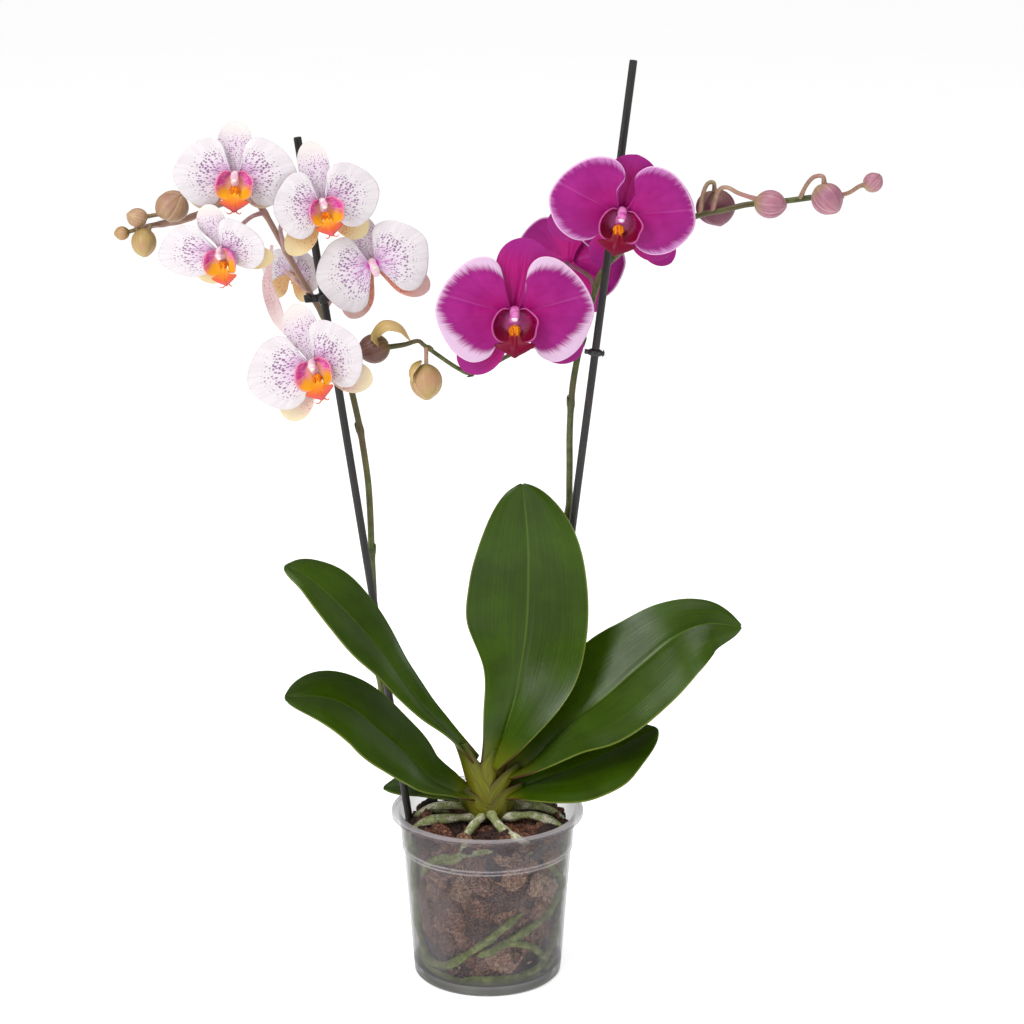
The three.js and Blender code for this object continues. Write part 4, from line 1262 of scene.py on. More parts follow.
BUDS = {
    # place, radii, direction from stalk to tip
    "bud_left_1": ((-185, -20, 494), (10, 9.5, 9.5), (0.5, -0.4, 0.7)),
    "bud_left_2": ((-202, -22, 473), (7.5, 7.5, 8.3), (0.1, -0.3, -1)),
    "bud_left_3": ((-206, -18.5, 487), (6.3, 5.5, 5.7), (-0.8, -0.4, 0.4)),
    "bud_left_4": ((-215.5, -16, 477), (4.4, 4.2, 4.2), (-1, -0.2, 0)),
    "bud_right_1": ((138, 18, 486), (12, 10.5, 11), (0.2, 0.2, -1)),
    "bud_right_2": ((168.5, -7, 493), (9.3, 8.5, 8.5), (1, -0.15, -0.12)),
    "bud_right_3": ((202, -11, 497), (9.5, 9.5, 9.5), (0.6, -0.3, -0.7)),
    "bud_right_4": ((229, -7, 506), (6, 5.5, 6), (0.7, 0, 0.7)),
    "bud_side_1": ((-67, -15, 406.5), (9.5, 9, 9), (-0.9, -0.3, -0.3)),
    "bud_side_2": ((-36, -12, 386), (9.8, 9.5, 10.5), (0.05, -0.25, -1)),
}


def flower_frame(name):
    """The matrix from a flower's own millimetres to the plant's: three turns one after the
    other, then the scale and the place."""
    place, turn, lean, roll, scale, _ = FLOWERS[name]
    matrix = turn_about(2, turn) @ turn_about(0, 90 - lean) @ turn_about(2, -roll)
    matrix[:3, :3] *= FLOWER_SIZE[name.split("_")[0]] * scale
    matrix[:3, 3] = place
    return matrix


print("flowers and buds:", len(FLOWERS), len(BUDS))

# %% [markdown]
# ## Flower spikes
#
# A spike is one long stem with stalks. The stalks start inside the stem, so that nothing
# shows where they join. Stems have joints, which are rings a little thicker than the rest,
# and each joint carries a small pointed bract, a leaf the size of a grain of rice.

# %% Points of the spikes
SPIKE_RADIUS = 2.3
TWIG_RADIUS = 1.7
PEDICEL_RADIUS = 1.3
JOINT_SWELL = 0.5
OVARY_END = -8.6
LEFT_STEM = [
    (-9, 9, 116), (-30, 13, 123), (-50, 14, 134), (-62, 14, 149), (-66, 14, 182), (-69, 14, 214),
    (-71, 14, 266), (-73, 14, 317), (-81, 14, 368), (-93, 16, 408), (-113, 16, 445),
    (-132, 4, 485), (-140, -1, 494), (-155, -4, 493), (-170, -5, 487), (-182, -5, 482),
    (-191, -6, 481), (-200, -9, 480), (-208, -13, 478.5),
]
LEFT_STALKS = {
    "white_flower_1": [(-144, -3, 494), (-148, -9, 500)],
    "white_flower_2": [(-121, 11, 462), (-122, -3, 480), (-109, -13, 494)],
    "white_flower_3": [(-133, 3, 486), (-141, -14, 485)],
    "white_flower_4": [(-100, 16, 421), (-88, 17, 438), (-75, 8, 453)],
    "white_flower_5": [(-87, 15, 388), (-83, -2, 398), (-91, -18, 404)],
    "white_flower_6": [(-107, 16, 434), (-115, 19, 441), (-121, 25, 445)],
    "bud_left_1": [(-176, -5, 484), (-182, -7, 483), (-187, -10, 483)],
    "bud_left_2": [(-194, -7, 480.5), (-197, -12, 481), (-198.5, -17, 481.5)],
    "bud_left_3": [(-185, -5, 481.5), (-191, -9, 487)],
    "bud_left_4": [(-206, -12, 479), (-210, -14, 478)],
}
RIGHT_STEM = [
    (7, 10, 118), (16, 20, 140), (29, 32, 180), (42, 37, 235), (50, 37, 287), (51, 36, 313),
    (51, 36, 338), (52, 35, 364), (55, 36, 386), (60, 38, 408), (65, 39, 426), (69, 39, 439),
    (75, 37, 449), (87, 29, 461), (101, 17, 472), (116, 10, 479), (131, 5, 485), (141, 4, 487),
    (155, 6, 490), (168, 7, 491), (181, 4, 493), (194, 3, 495), (205, 3, 496), (213, 1, 496.5),
]
SIDE_BRANCH = [
    (56, 36, 392), (46, 27, 400), (30, 18, 401), (14, 10, 397), (2, 2, 392), (-9, -4, 389),
    (-17, -8, 393), (-28, -10, 401), (-37, -12, 408), (-41, -13, 411), (-49, -14, 409),
]
RIGHT_STALKS = {
    "bud_side_2": [(-36, -11.7, 407), (-36, -12, 400)],
    "magenta_flower_1": [(95, 22, 468), (95, 6, 482)],
    "magenta_flower_2": [(55.5, 36, 389), (45, 20, 402), (29, 2, 420)],
    "magenta_flower_3": [(66, 39, 428), (63, 45, 438)],
    "magenta_flower_4": [(104, 16, 473), (101, 23, 477)],
    "bud_right_1": [(128, 6, 484), (129, 6, 495), (132, 9, 502), (136, 13, 502)],
    "bud_right_2": [(135, 4.5, 486), (138, 1, 499), (143, -2, 502), (150, -5, 499)],
    "bud_right_3": [(187, 3.5, 494), (190, -2, 503), (194, -7, 509), (199, -10, 510)],
    "bud_right_4": [(210, 1, 496.4), (216, -2, 499), (221, -5, 503)],
}
print("stalks:", len(LEFT_STALKS) + len(RIGHT_STALKS))


# %% Stems, stalks and bracts
def stalk_end(name, last):
    """Where a stalk ends: inside the back of its flower, or just under the skin of its bud."""
    if name in FLOWERS:
        return (flower_frame(name) @ np.array([0, 0, OVARY_END + 0.6, 1]))[:3]
    centre, radii, _ = BUDS[name]
    outward = unit(np.asarray(last, float) - centre)
    reach = 1 / np.linalg.norm(outward / np.asarray(radii, float))
    return np.asarray(centre, float) + outward * (reach - 0.8)


def jointed(start, end, t, joints, swell):
    """A radius that goes evenly from start to end, with a bell-shaped swelling at each joint.
    Joints are shares of the length."""
    radius = mix(start, end, t)
    for joint in joints:
        radius = radius + swell * np.exp(-(((t - joint) / 0.006) ** 2))
    return radius


def stem_part(points, joints):
    """A jointed stem that narrows to the radius of a twig."""
    radius = jointed(SPIKE_RADIUS, TWIG_RADIUS, steps(260), joints, JOINT_SWELL)
    return tube(points, radius, len(radius), 16, lumps=0.03, seed=7)


def stalk_part(name, points, radius=PEDICEL_RADIUS):
    """A stalk, a little thicker where it leaves the stem and where it meets its flower."""
    last = stalk_end(name, points[-1])
    rows = 110 if len(points) > 6 else 36
    t = steps(rows)
    thick = mix(radius + 0.3, PEDICEL_RADIUS, smooth(t / 0.3)) + 0.35 * smooth((t - 0.85) / 0.15)
    return tube([*points, tuple(last)], thick, rows, 12, lumps=0.04, seed=len(name))


def bract(points, at, size, seed=0):
    """A small pointed scale that clasps a stem at a share at of its length: arcs that get
    narrower and move outward towards the tip."""
    place, direction = even_curve(points, np.array([at]))
    place, direction = place[0], direction[0]
    out = unit(np.cross(direction, [0.2, 1.0, 0.1 + 0.3 * (seed % 3)])) * (-1) ** seed
    side = np.cross(direction, out)
    u, v = steps(14), steps(15)
    angle = (2 * v[None, :] - 1) * mix(1.9, 0.7, u[:, None])
    reach = size * (0.42 + 0.12 * u[:, None]) * np.sqrt(np.maximum(1 - u[:, None] ** 2.2, 0.004))
    lift = 1.3 + 0.5 * size * u[:, None] ** 2
    grid = (
        place
        + direction * (size * 1.6 * u[:, None, None] - 0.8)
        + out * ((reach * np.cos(angle))[..., None] + (lift * 0.55)[..., None])
        + side * (reach * np.sin(angle))[..., None]
    )
    return blade(grid, u, v, 0.5)


def spike(stem, joints):
    """A stem with a bract at each joint, and larger ones on its lower part."""
    bracts = [bract(stem, at, 4.0 if at < 0.6 else 2.4, seed) for seed, at in enumerate(joints)]
    return [stem_part(stem, joints), *bracts]


# %% Looks of stems and stalks
def stem_look(name, shades, shift, top=None):
    """Mottled green, browner at some places. shades are the dark and the light mottle and the
    brown, and shift brings more of the brown. A spike may change to another shade at the top."""
    low, high, tint = shades
    look = Look(name, roughness=0.45, gloss=0.35)
    where = look.object_place()
    mottle = look.use(PATCHES, Place=where, Scale=140.0, Low=0.35, High=0.68)
    broad = look.use(PATCHES, Place=where, Scale=28.0, Low=0.4 - shift, High=0.75 - shift)["Mask"]
    fine = look.noise(where, 1100, 2)
    shade = look.over(look.over(low, high, mottle["Mask"]), tint, broad)
    if top:
        start, end, rosy = top
        shade = look.over(shade, rosy, look.between(look.axis(where, "Z"), start, end), 0.85)
    look.bump(look.plus(mottle["Mask"], look.times(fine, 0.5)), 0.15, 0.0004)
    return look.finish(look.over(shade, (64, 58, 36), look.between(fine, 0.5, 0.8), 0.3))


ROSY_TOP = (0.40, 0.45, (172, 134, 122))
STEM_SHADES = {
    "left_stem": ([(62, 74, 30), (98, 106, 52), (88, 74, 44)], 0.0, ROSY_TOP),
    "right_stem": ([(58, 68, 30), (94, 98, 50), (84, 70, 44)], 0.0),
    "rosy_stalk": ([(176, 134, 128), (214, 182, 176), (156, 112, 118)], 0.1),
    "plum_stalk": ([(92, 42, 66), (126, 58, 98), (96, 74, 50)], 0.0),
    "flower_stalk": ([(116, 106, 64), (172, 152, 116), (158, 112, 106)], 0.12),
}
STEMS = {name: stem_look(name, *one) for name, one in STEM_SHADES.items()}
print("finishes of stems and stalks:", list(STEMS))

# %% [markdown]
# The left spike, the right spike with its side branch and three bundles of stalks are one
# object each. A stalk's bundle goes by its shade: rosy and plum ones carry the white and the
# magenta flowers, and beige ones carry buds.

# %% Spikes and stalks
LEFT_JOINTS = [0.215, 0.375, 0.53, 0.6, 0.68, 0.77, 0.83, 0.88, 0.93, 0.965]
RIGHT_JOINTS = [0.17, 0.36, 0.5, 0.575, 0.66, 0.73, 0.765, 0.8, 0.92, 0.985]
BRANCH_JOINTS = [0.62, 0.86]
branch = [stalk_part("bud_side_1", SIDE_BRANCH, TWIG_RADIUS)]
branch += [bract(SIDE_BRANCH, at, 2.6, seed) for seed, at in enumerate(BRANCH_JOINTS)]
show("spike_left_stem", spike(LEFT_STEM, LEFT_JOINTS), STEMS["left_stem"], "spike_left")
right_parts = spike(RIGHT_STEM, RIGHT_JOINTS) + branch
show("spike_right_stem", right_parts, STEMS["right_stem"], "spike_right")

bundles = {"rosy_stalk": [], "plum_stalk": [], "flower_stalk": []}
for stalks, flower_bundle in ((LEFT_STALKS, "rosy_stalk"), (RIGHT_STALKS, "plum_stalk")):
    for name, points in stalks.items():
        bundles[flower_bundle if name in FLOWERS else "flower_stalk"].append(stalk_part(name, points))
for name, finish in zip(("rosy_stalks", "plum_stalks", "beige_stalks"), bundles):
    show(name, bundles[finish], STEMS[finish])
    print(name, len(bundles[finish]))

# %% [markdown]
# ## Buds
#
# A bud is three sepals closed over each other. Its ball is a little three-sided and ends in
# a blunt point, with a groove where two sepals meet. Soft streaks run from the stalk to the
# tip. The second number of the UV map counts how far a point is from a groove.


# %% Buds
def bud_part(centre, radii, pole):
    """A ball with its three radii, pushed in and out by bulge."""

    def bulge(along, around):
        """How far the skin is from the middle: 1, with three soft sides, grooves and a tip."""
        from_groove = np.abs(thirds(around) - 1)
        groove = 0.05 * np.exp(-((from_groove / 0.1) ** 2)) * np.sin(math.pi * along)
        sides = 0.03 * np.cos(6 * math.pi * (around - 1 / 6))
        return 1 + sides - groove + 0.07 * smooth((along - 0.82) / 0.18)

    return ball(centre, np.asarray(radii, float) * 0.99, pole, rows=44, corners=90, bulge=bulge)


def bud_look(name, shades, streaks):
    """Soft streaks and clouds. shades are the skin, its streaks, the end at the stalk and the
    clouds, and the number streaks is how strong these are."""
    skin, streak, base, tint = shades
    look = Look(
        name, roughness=0.42, gloss=0.35,
        Subsurface_Weight=0.05, Subsurface_Radius=(0.004, 0.002, 0.001), Subsurface_Scale=1.0,
    )
    u, v = look.place()
    lines = look.use(VEINS, U=u, V=v, Lines=5.0, Stretch=0.8, Low=0.38, High=0.68)
    clouds = look.use(PATCHES, Place=look.object_place(), Scale=55.0, Low=0.42, High=0.7)["Mask"]
    shade = look.over(skin, streak, lines["Mask"], streaks)
    shade = look.over(shade, tint, clouds, 0.7)
    shade = look.over(shade, base, look.between(u, 0.5, 0.05), 0.85)
    look.bump(lines["Height"], 0.15, 0.0006)
    return look.finish(look.over(shade, streak, look.between(v, 0.9, 0.995), 0.5))


BUD_SHADES = {
    "dark_pink": ([(120, 62, 86), (150, 88, 112), (104, 84, 60), (96, 52, 60)], 0.3),
    "pink": ([(152, 96, 116), (206, 160, 160), (150, 134, 84), (132, 78, 102)], 0.6),
    "olive": ([(164, 138, 84), (196, 168, 116), (134, 118, 48), (172, 122, 104)], 0.5),
    "tan": ([(162, 128, 98), (204, 174, 132), (150, 134, 70), (150, 100, 100)], 0.5),
    "dark": ([(92, 62, 54), (146, 110, 96), (122, 108, 46), (112, 76, 72)], 0.5),
}
BUD_SKINS = {name: bud_look(f"{name}_bud", *one) for name, one in BUD_SHADES.items()}
SKIN_OF_BUD = {
    "bud_left_1": "tan", "bud_left_2": "olive", "bud_left_3": "tan", "bud_left_4": "olive",
    "bud_right_1": "dark_pink", "bud_right_2": "pink", "bud_right_3": "pink", "bud_right_4": "pink",
    "bud_side_1": "dark", "bud_side_2": "olive",
}
for name, (centre, radii, pole) in BUDS.items():
    show(f"{name}_body", [bud_part(centre, radii, pole)], BUD_SKINS[SKIN_OF_BUD[name]], name)
print("buds:", len(BUDS))

# %% [markdown]
# Two buds on the side branch still wear the pale bract that covered them, and an old sepal
# hangs edge on below the white flowers. All three are narrow blades along a short curve,
# with a table of half-widths like a leaf's.


# %% Bracts and a hanging sepal
FLAP_THICKNESS = 0.7


def flap(points, half_widths, facing, cup):
    """A narrow blade along points whose margins are raised by cup times their distance
    from the middle, squared."""
    u, v = closer_at_tip(36, 1.4), steps(25)
    spine, direction = even_curve(points, u)
    face, across = square_to(direction, np.asarray(facing, float))
    offset = (2 * v[None, :] - 1) * table_value(half_widths, u)[:, None]
    return blade(laid_out(spine, across, offset, face, cup * offset**2), u, v, FLAP_THICKNESS)


FLAPS = [
    flap(
        [(-64, -22, 410), (-66, -24, 417), (-60, -23.5, 423.5), (-51, -20.5, 421), (-45.5, -16, 412)],
        [1.0, 3.2, 5.0, 5.0, 3.4, 0.5], (0, -0.45, 0.9), -0.04,
    ),
    flap(
        [(-39, -13.5, 399), (-43, -17, 396.5), (-45, -19.5, 392), (-44, -20.5, 388)],
        [1, 2.6, 2.6, 1.6, 0.4], (-0.6, -0.7, 0.3), -0.06,
    ),
]
BRACT = bud_look("bract", [(168, 140, 78), (204, 180, 120), (132, 112, 52), (186, 158, 110)], 0.6)
show("bud_bracts", FLAPS, BRACT)
print("bracts on the side buds:", len(FLAPS))

# %% [markdown]
# ## Flowers
#
# A moth orchid's flower has three sepals behind, two broad petals in front, and the lip,
# which is the third petal grown into a cup with a tongue. In the middle stands the column.
#
# A petal is drawn like a fan. Each point lies on a straight line from the petal's narrow
# foot to its margin, u of the way along. v tells where on the margin the line ends. That
# makes spots, veins and pale edges easy: veins are lines of constant v, and the pale edge
# is where u is near 1.

# %% Shapes of petals and sepals
PETAL_MARGIN = [
    (3, -4), (10, -16), (15, -25), (25, -28), (36, -21), (43.5, -7), (45, 5), (38.5, 19),
    (26, 31), (15, 33), (8.5, 27), (7, 17), (4.5, 8), (2.5, 3),
]
PETAL_CLAW = 2.2
PETAL_DOME = 2.6
PETAL_REFLEX = 1.6
PETAL_THICKNESS = 0.9
CLOSED_TOP_SHIFT = 6


def petal(side, tall, lower_half, wide, closed_top, seed):
    """One petal. side is 1 for the one at +X and -1 for the other. Its height is a dome that
    bends back at the margin, plus ruffles, a fold along its middle and a curled upper edge.
    With a closed top the upper inner part is shifted towards the other petal."""
    u, v = steps(36), steps(90)
    corners = [(x * wide, y * tall * (lower_half if y < 0 else 1), 0) for x, y in PETAL_MARGIN]
    margin = curve_points(corners, v)
    foot = np.stack([np.full_like(v, PETAL_CLAW), mix(-2.5, 2.5, v), np.zeros_like(v)], -1)
    grid = foot[None] + (margin - foot)[None] * u[:, None, None]
    way, rim = u[:, None], v[None, :]
    dome = 0.8 + PETAL_DOME * np.sin(math.pi * way * 0.75) - PETAL_REFLEX * way**3
    ruffle = 1.1 * way**3 * waves(rim * 14, way * 2, seed) + 0.3 * way * waves(rim * 40, way, seed + 1)
    fold = -0.7 * np.exp(-(((rim - 0.5) / 0.02) ** 2)) * np.sin(math.pi * way) ** 0.7
    curl = 1.5 * smooth((rim - 0.74) / 0.12) * smooth((0.98 - rim) / 0.08) * way**4
    grid[..., 2] = dome + ruffle + fold + curl
    if closed_top:
        rise = smooth((grid[..., 1] - 13) / 12)
        grid[..., 0] -= CLOSED_TOP_SHIFT * rise * np.maximum(1 - grid[..., 0] / 30, 0)
    grid[..., 0] *= side
    return blade(grid, u, v, PETAL_THICKNESS)


def sepal_spread(u):
    """How wide a sepal is at a share u of its length: it opens smoothly from its base to 1 at
    its widest place, and then closes like a rounded arch that ends a little blunt."""
    base, widest, roundness, tip = 0.3, 0.62, 2.2, 0.05
    opening = mix(base, 1, smooth(u / widest))
    ending = np.maximum(u - widest, 0) / (1 - widest)
    return opening * np.sqrt(np.maximum(1 - ending**roundness, tip**2))


def sepal(angle, length, width, back, seed):
    """A sepal points along its angle in degrees from +X and bends back towards its tip with
    the square of u. Its margins stand up a little, and a groove runs along its middle."""
    u, v = closer_at_tip(40, 1.5), closer_at_margins(31)
    side = 2 * v[None, :] - 1
    offset = side * (width / 2) * sepal_spread(u)[:, None]
    depth = -3.4 - back * u[:, None] ** 2 + 0.012 * offset**2
    depth = depth - 0.8 * np.exp(-((offset / 0.8) ** 2)) * (1 - u[:, None])
    depth = depth + 0.5 * u[:, None] * side**2 * waves(u[:, None] * 7, side, seed)
    along = np.broadcast_to(mix(1.5, length, u)[:, None], offset.shape)
    grid = np.stack([along, offset, depth], -1) @ turn_about(2, angle)[:3, :3].T
    return blade(grid, u, v, PETAL_THICKNESS)


print("faces of a sepal:", len(sepal(0, 40, 25, 4, seed=0)[1]))

# %% [markdown]
# Flower tissue is thin and full of water, so a little light passes under its skin: that is
# Subsurface in the shader. On a magenta petal the pale margin is where u is more than a
# limit. Noise that is drawn out along the veins moves the limit, which gives the feathered
# edge. On a white petal two grids of dashes lie over each other, small ones and bold ones.


# %% Looks of petals
def soft_look(name, roughness=0.5):
    """A material for thin flower tissue, which lets a little light pass under its skin."""
    return Look(
        name, roughness=roughness, gloss=0.15,
        Subsurface_Weight=0.12, Subsurface_Radius=(0.003, 0.002, 0.002), Subsurface_Scale=1.0,
    )


def magenta_petal_look(name, margin_start, margin_gain, pale):
    """Magenta with soft veins, and a pale margin whose inner edge is feathered. The margin
    begins at margin_start, and later by margin_gain in the middle of the petal's side."""
    look = soft_look(name)
    u, v = look.place()
    streaks = look.use(VEINS, U=u, V=v, Lines=190.0, Stretch=1.6)
    veins = look.use(VEINS, U=u, V=v, Lines=46.0, Stretch=1.0, Low=0.42, High=0.7)
    clouds = look.use(PATCHES, Place=look.object_place(), Scale=60.0, Low=0.35, High=0.7)["Mask"]
    from_middle = look.calc("ABSOLUTE", look.less(v, 0.5))
    start = look.plus(look.times(look.between(from_middle, 0.22, 0.02), margin_gain), margin_start)
    feather = look.times(look.less(streaks["Height"], 0.5), 0.26)
    in_margin = look.between(look.less(look.plus(u, feather), start), -0.04, 0.12)
    stops = [(0.0, (176, 36, 132)), (0.2, (160, 6, 108)), (0.55, (140, 8, 104)), (1.0, (142, 26, 118))]
    shade = look.over(look.ramp(u, stops), (172, 44, 140), clouds, 0.35)
    shade = look.over(shade, (120, 6, 92), veins["Mask"], 0.28)
    shade = look.over(shade, (196, 90, 168), look.between(from_middle, 0.006, 0.001), 0.2)
    shade = look.over(shade, (118, 4, 92), look.between(look.less(start, u), 0.16, 0.02), 0.3)
    shade = look.over(shade, pale, in_margin, 0.9)
    look.bump(veins["Height"], 0.14, 0.0006)
    return look.finish(look.over(shade, (222, 184, 214), look.between(u, 0.965, 0.99), 0.75))


def white_petal_look():
    """Nearly white, with purple dashes in rows that point to the middle, and pink veins at the foot."""
    look = soft_look("white_petal")
    u, v = look.place()
    fine = look.use(DASHES, U=u, V=v, Rows=17.0, Lines=74.0, Size=0.42, Few=0.34, Start=0.55, End=0.9)["Mask"]
    bold = look.use(DASHES, U=u, V=v, Rows=11.0, Lines=44.0, Size=0.3, Few=0.5, Start=0.5, End=0.85)["Mask"]
    dots = look.calc("MAXIMUM", look.times(fine, 0.9), bold)
    dots = look.times(dots, look.between(u, 0.06, 0.16))
    lines = look.use(VEINS, U=u, V=v, Lines=46.0, Stretch=1.4, Low=0.44, High=0.58)
    shade = look.over((212, 206, 209), (212, 176, 214), look.between(u, 0.7, 0.15), 0.42)
    grey = look.times(lines["Mask"], look.between(u, 0.3, 0.7))
    shade = look.over(shade, (194, 186, 192), grey, 0.35)
    foot = look.times(lines["Mask"], look.between(u, 0.5, 0.12))
    shade = look.over(shade, (190, 86, 180), foot, 0.6)
    shade = look.over(shade, (198, 64, 178), look.between(u, 0.13, 0.03))
    look.bump(lines["Height"], 0.16, 0.0008)
    return look.finish(look.over(shade, (112, 34, 116), dots, 0.85))


PETALS = {
    "magenta_flower_1": magenta_petal_look("magenta_thin_edge", 0.86, 0.1, (190, 130, 184)),
    "magenta_flower_2": magenta_petal_look("magenta_wide_edge", 0.74, 0.19, (208, 180, 206)),
    "magenta_flower_3": magenta_petal_look("magenta_no_edge", 0.96, 0.03, (160, 56, 138)),
}
PETALS["magenta_flower_4"] = PETALS["magenta_flower_3"]
WHITE_PETAL = white_petal_look()
print("petal finishes:", len({*PETALS.values(), WHITE_PETAL}))

# %% [markdown]
# The upper sepals match the petals, but the side sepals of the white flowers each have
# their own shade, from cream to mustard and pink. One function makes them all from a table
# of colours.


# %% Looks of sepals
def sepal_look(name, shades, spots):
    """Long veins along a sepal, its tip in another shade, and small spots. shades are the
    face, the veins, the tip and the spots, and the number spots is how strong these are."""
    face, vein, tip, spot = shades
    look = soft_look(name)
    u, v = look.place()
    lines = look.use(VEINS, U=u, V=v, Lines=26.0, Stretch=1.6)
    dots = look.use(DASHES, U=u, V=v, Rows=26.0, Lines=17.0, Size=0.33, Few=0.3, Start=0.55, End=0.98)["Mask"]
    edge = look.between(look.use(MARGIN, V=v)["Distance"], 0.08, 0.02)
    shade = look.over(face, vein, lines["Mask"], 0.6)
    shade = look.over(shade, tip, look.between(u, 0.55, 0.95))
    shade = look.over(shade, spot, dots, spots)
    look.bump(lines["Height"], 0.15, 0.0006)
    return look.finish(look.over(shade, tip, edge, 0.5))


SEPAL_SHADES = {
    "magenta": ([(162, 8, 106), (182, 44, 136), (146, 30, 118), (140, 16, 100)], 0.0),
    "white": ([(214, 204, 211), (208, 180, 206), (216, 209, 205), (132, 52, 132)], 0.85),
    "mustard": ([(200, 164, 112), (190, 132, 98), (214, 194, 150), (158, 78, 66)], 0.8),
    "cream": ([(212, 186, 172), (206, 154, 154), (222, 206, 172), (170, 84, 104)], 0.75),
    "pink": ([(206, 140, 118), (200, 112, 98), (222, 186, 180), (158, 50, 56)], 0.8),
    "hanging": ([(232, 206, 208), (216, 158, 164), (234, 216, 214), (184, 76, 96)], 0.5),
}
SEPALS = {name: sepal_look(f"{name}_sepal", *one) for name, one in SEPAL_SHADES.items()}
SIDE_SEPALS = {
    "white_flower_1": "cream", "white_flower_2": "mustard", "white_flower_3": "mustard",
    "white_flower_4": "pink", "white_flower_5": "cream", "white_flower_6": "mustard",
}
hanging = flap(
    [(-127.2, -10, 468.8), (-129, -11, 456), (-130, -12, 445), (-125.3, -15, 430.4), (-119.8, -20, 416.3)],
    [1.0, 1.6, 3.4, 4.8, 4.4, 0.6], (-0.35, -0.93, 0), 0.05,
)
show("hanging_sepal", [hanging], SEPALS["hanging"])
print("sepal finishes:", len(SEPALS))

# %% [markdown]
# ## The lip and the column
#
# The lip has two upright side lobes that form a cup, a fleshy plate between them, and a
# tongue that comes forward and ends in a short broad fan. The lobes are fans like the
# petals, but they curve strongly out of the flower. On white flowers two thin tendrils curl
# back from the tip.


# %% Shapes of the lip and the column
def side_lobe(side, rise):
    """One wall of the cup: a fan from beside the column to a round margin in front, hollowed by
    the product of two sines. rise lifts its upper end."""
    u, v = steps(28), steps(48)
    rim = curve_points(
        [
            (2.6, 3.2 + rise, 4.0), (6.8, 4.0 + rise, 7), (11.2, 1.0 + rise, 11), (13.2, -4.5, 13.5),
            (11.4, -10.5, 14), (7.4, -14.2, 12.5), (3.2, -14.4, 9.5),
        ],
        v,
    )
    foot = np.stack([np.full_like(v, 2.4), mix(1.0, -9.5, v), mix(1.6, 4.4, v)], -1)
    grid = foot[None] + (rim - foot)[None] * u[:, None, None]
    hollow = np.sin(math.pi * u)[:, None] * np.sin(math.pi * mix(0.08, 0.95, v))[None, :]
    grid[..., 2] -= 3.4 * hollow
    grid[..., 0] += 2.6 * hollow
    ruffle = u[:, None] ** 3 * waves(v[None, :] * 16, u[:, None], 3 + side)
    grid[..., 2] += 0.9 * ruffle
    grid[..., 0] += 0.7 * ruffle
    grid[..., 0] *= side
    return blade(grid, u, v, 0.9)


def tongue(wide):
    """The middle lobe, whose half-widths come from a table. It goes down evenly and out like a
    sine, with a keel, and ends in a fan with its corners turned up. wide is a share of the
    fan's full width."""
    u, v = closer_at_tip(36, 1.3), steps(37)
    side = 2 * v[None, :] - 1
    offset = side * table_value([2.6, 3.4, 4.8, 7.6, 11.4, 11.6, 3.0], u)[:, None]
    offset = offset * mix(1, wide, u)[:, None]
    reach = mix(-9.5, -22.5, u)[:, None]
    down = reach + 3.4 * np.abs(side) ** 1.8 * smooth((u - 0.3) / 0.45)[:, None]
    keel = 0.9 * np.exp(-((offset / 1.1) ** 2))
    out = 6.5 + 8.5 * np.sin(math.pi * 0.62 * u)[:, None] - 0.022 * offset**2 + keel
    grid = np.stack([offset, np.broadcast_to(down, offset.shape), out], -1)
    return blade(grid, u, v, 1.0)


def callus():
    """The plate between the lobes, with two ridges and a groove between them."""
    plate = ball((0, -8.8, 6.4), (3.6, 3.4, 2.2), rows=20, corners=32)
    ridges = [ball((side * 1.5, -9.2, 8.2), (1.1, 3.0, 1.5), rows=16, corners=24) for side in (1, -1)]
    return [plate, *ridges]


def tendrils():
    """Two thin threads that curl back from the tip of the tongue."""
    curl = [(0.8, -21.6, 12.5), (2.0, -23.2, 13.6), (3.8, -23.6, 15.2), (5.2, -22.2, 16.6)]
    thickness = np.linspace(0.6, 0.25, 30)
    return [tube([(side * x, y, z) for x, y, z in curl], thickness, 30, 10) for side in (1, -1)]


def column():
    """The column, a short rod with a hood and a foot that joins it to the lip, and the round
    cap over the pollen at its front."""
    t = steps(20)
    thickness = 2.5 + 0.9 * np.sin(math.pi * t) - 0.7 * t
    stem = tube([(0, 1.4, -1.5), (0, 1.5, 2), (0, 1.2, 5), (0, 0.3, 7.4)], thickness, 20, 28)
    hood = ball((0, 0.3, 7.6), (2.9, 2.7, 2.5), rows=20, corners=32)
    cap = ball((0, -1.4, 8.3), (2.1, 1.8, 1.9), rows=16, corners=24)
    foot = ball((0, -4.4, 2.6), (3.4, 6.6, 1.9), rows=20, corners=32)
    return [stem, hood, foot], [cap]


print("faces of a side lobe and a tongue:", len(side_lobe(1, 0)[1]), len(tongue(1)[1]))

# %% [markdown]
# The cup's colours go by two numbers, u from the throat to the rim and v from its upper end
# to its lower one. Both are made uneven by the veins, so that no edge between two colours
# is straight. The plate between the lobes is orange with brown red freckles, and the column
# and its cap have two soft shades each.


# %% Looks of the lip and the column
def lip_look(name, shades):
    """One wall of the cup. shades are those of the throat, the wall, its veins, its lower
    end and its rim."""
    throat, wall, vein, low, rim = shades
    look = soft_look(name, 0.42)
    u, v = look.place()
    lines = look.use(VEINS, U=v, V=u, Lines=2.5, Stretch=16.0, Low=0.4, High=0.65)
    uneven = look.times(look.less(lines["Height"], 0.5), 0.4)
    shade = look.over(wall, vein, lines["Mask"])
    shade = look.over(shade, low, look.between(look.plus(v, uneven), 0.46, 0.72))
    shade = look.over(shade, rim, look.between(u, 0.94, 1.0), 0.6)
    look.bump(lines["Height"], 0.2, 0.0006)
    return look.finish(look.over(shade, throat, look.between(look.plus(u, uneven), 0.36, 0.08), 0.85))


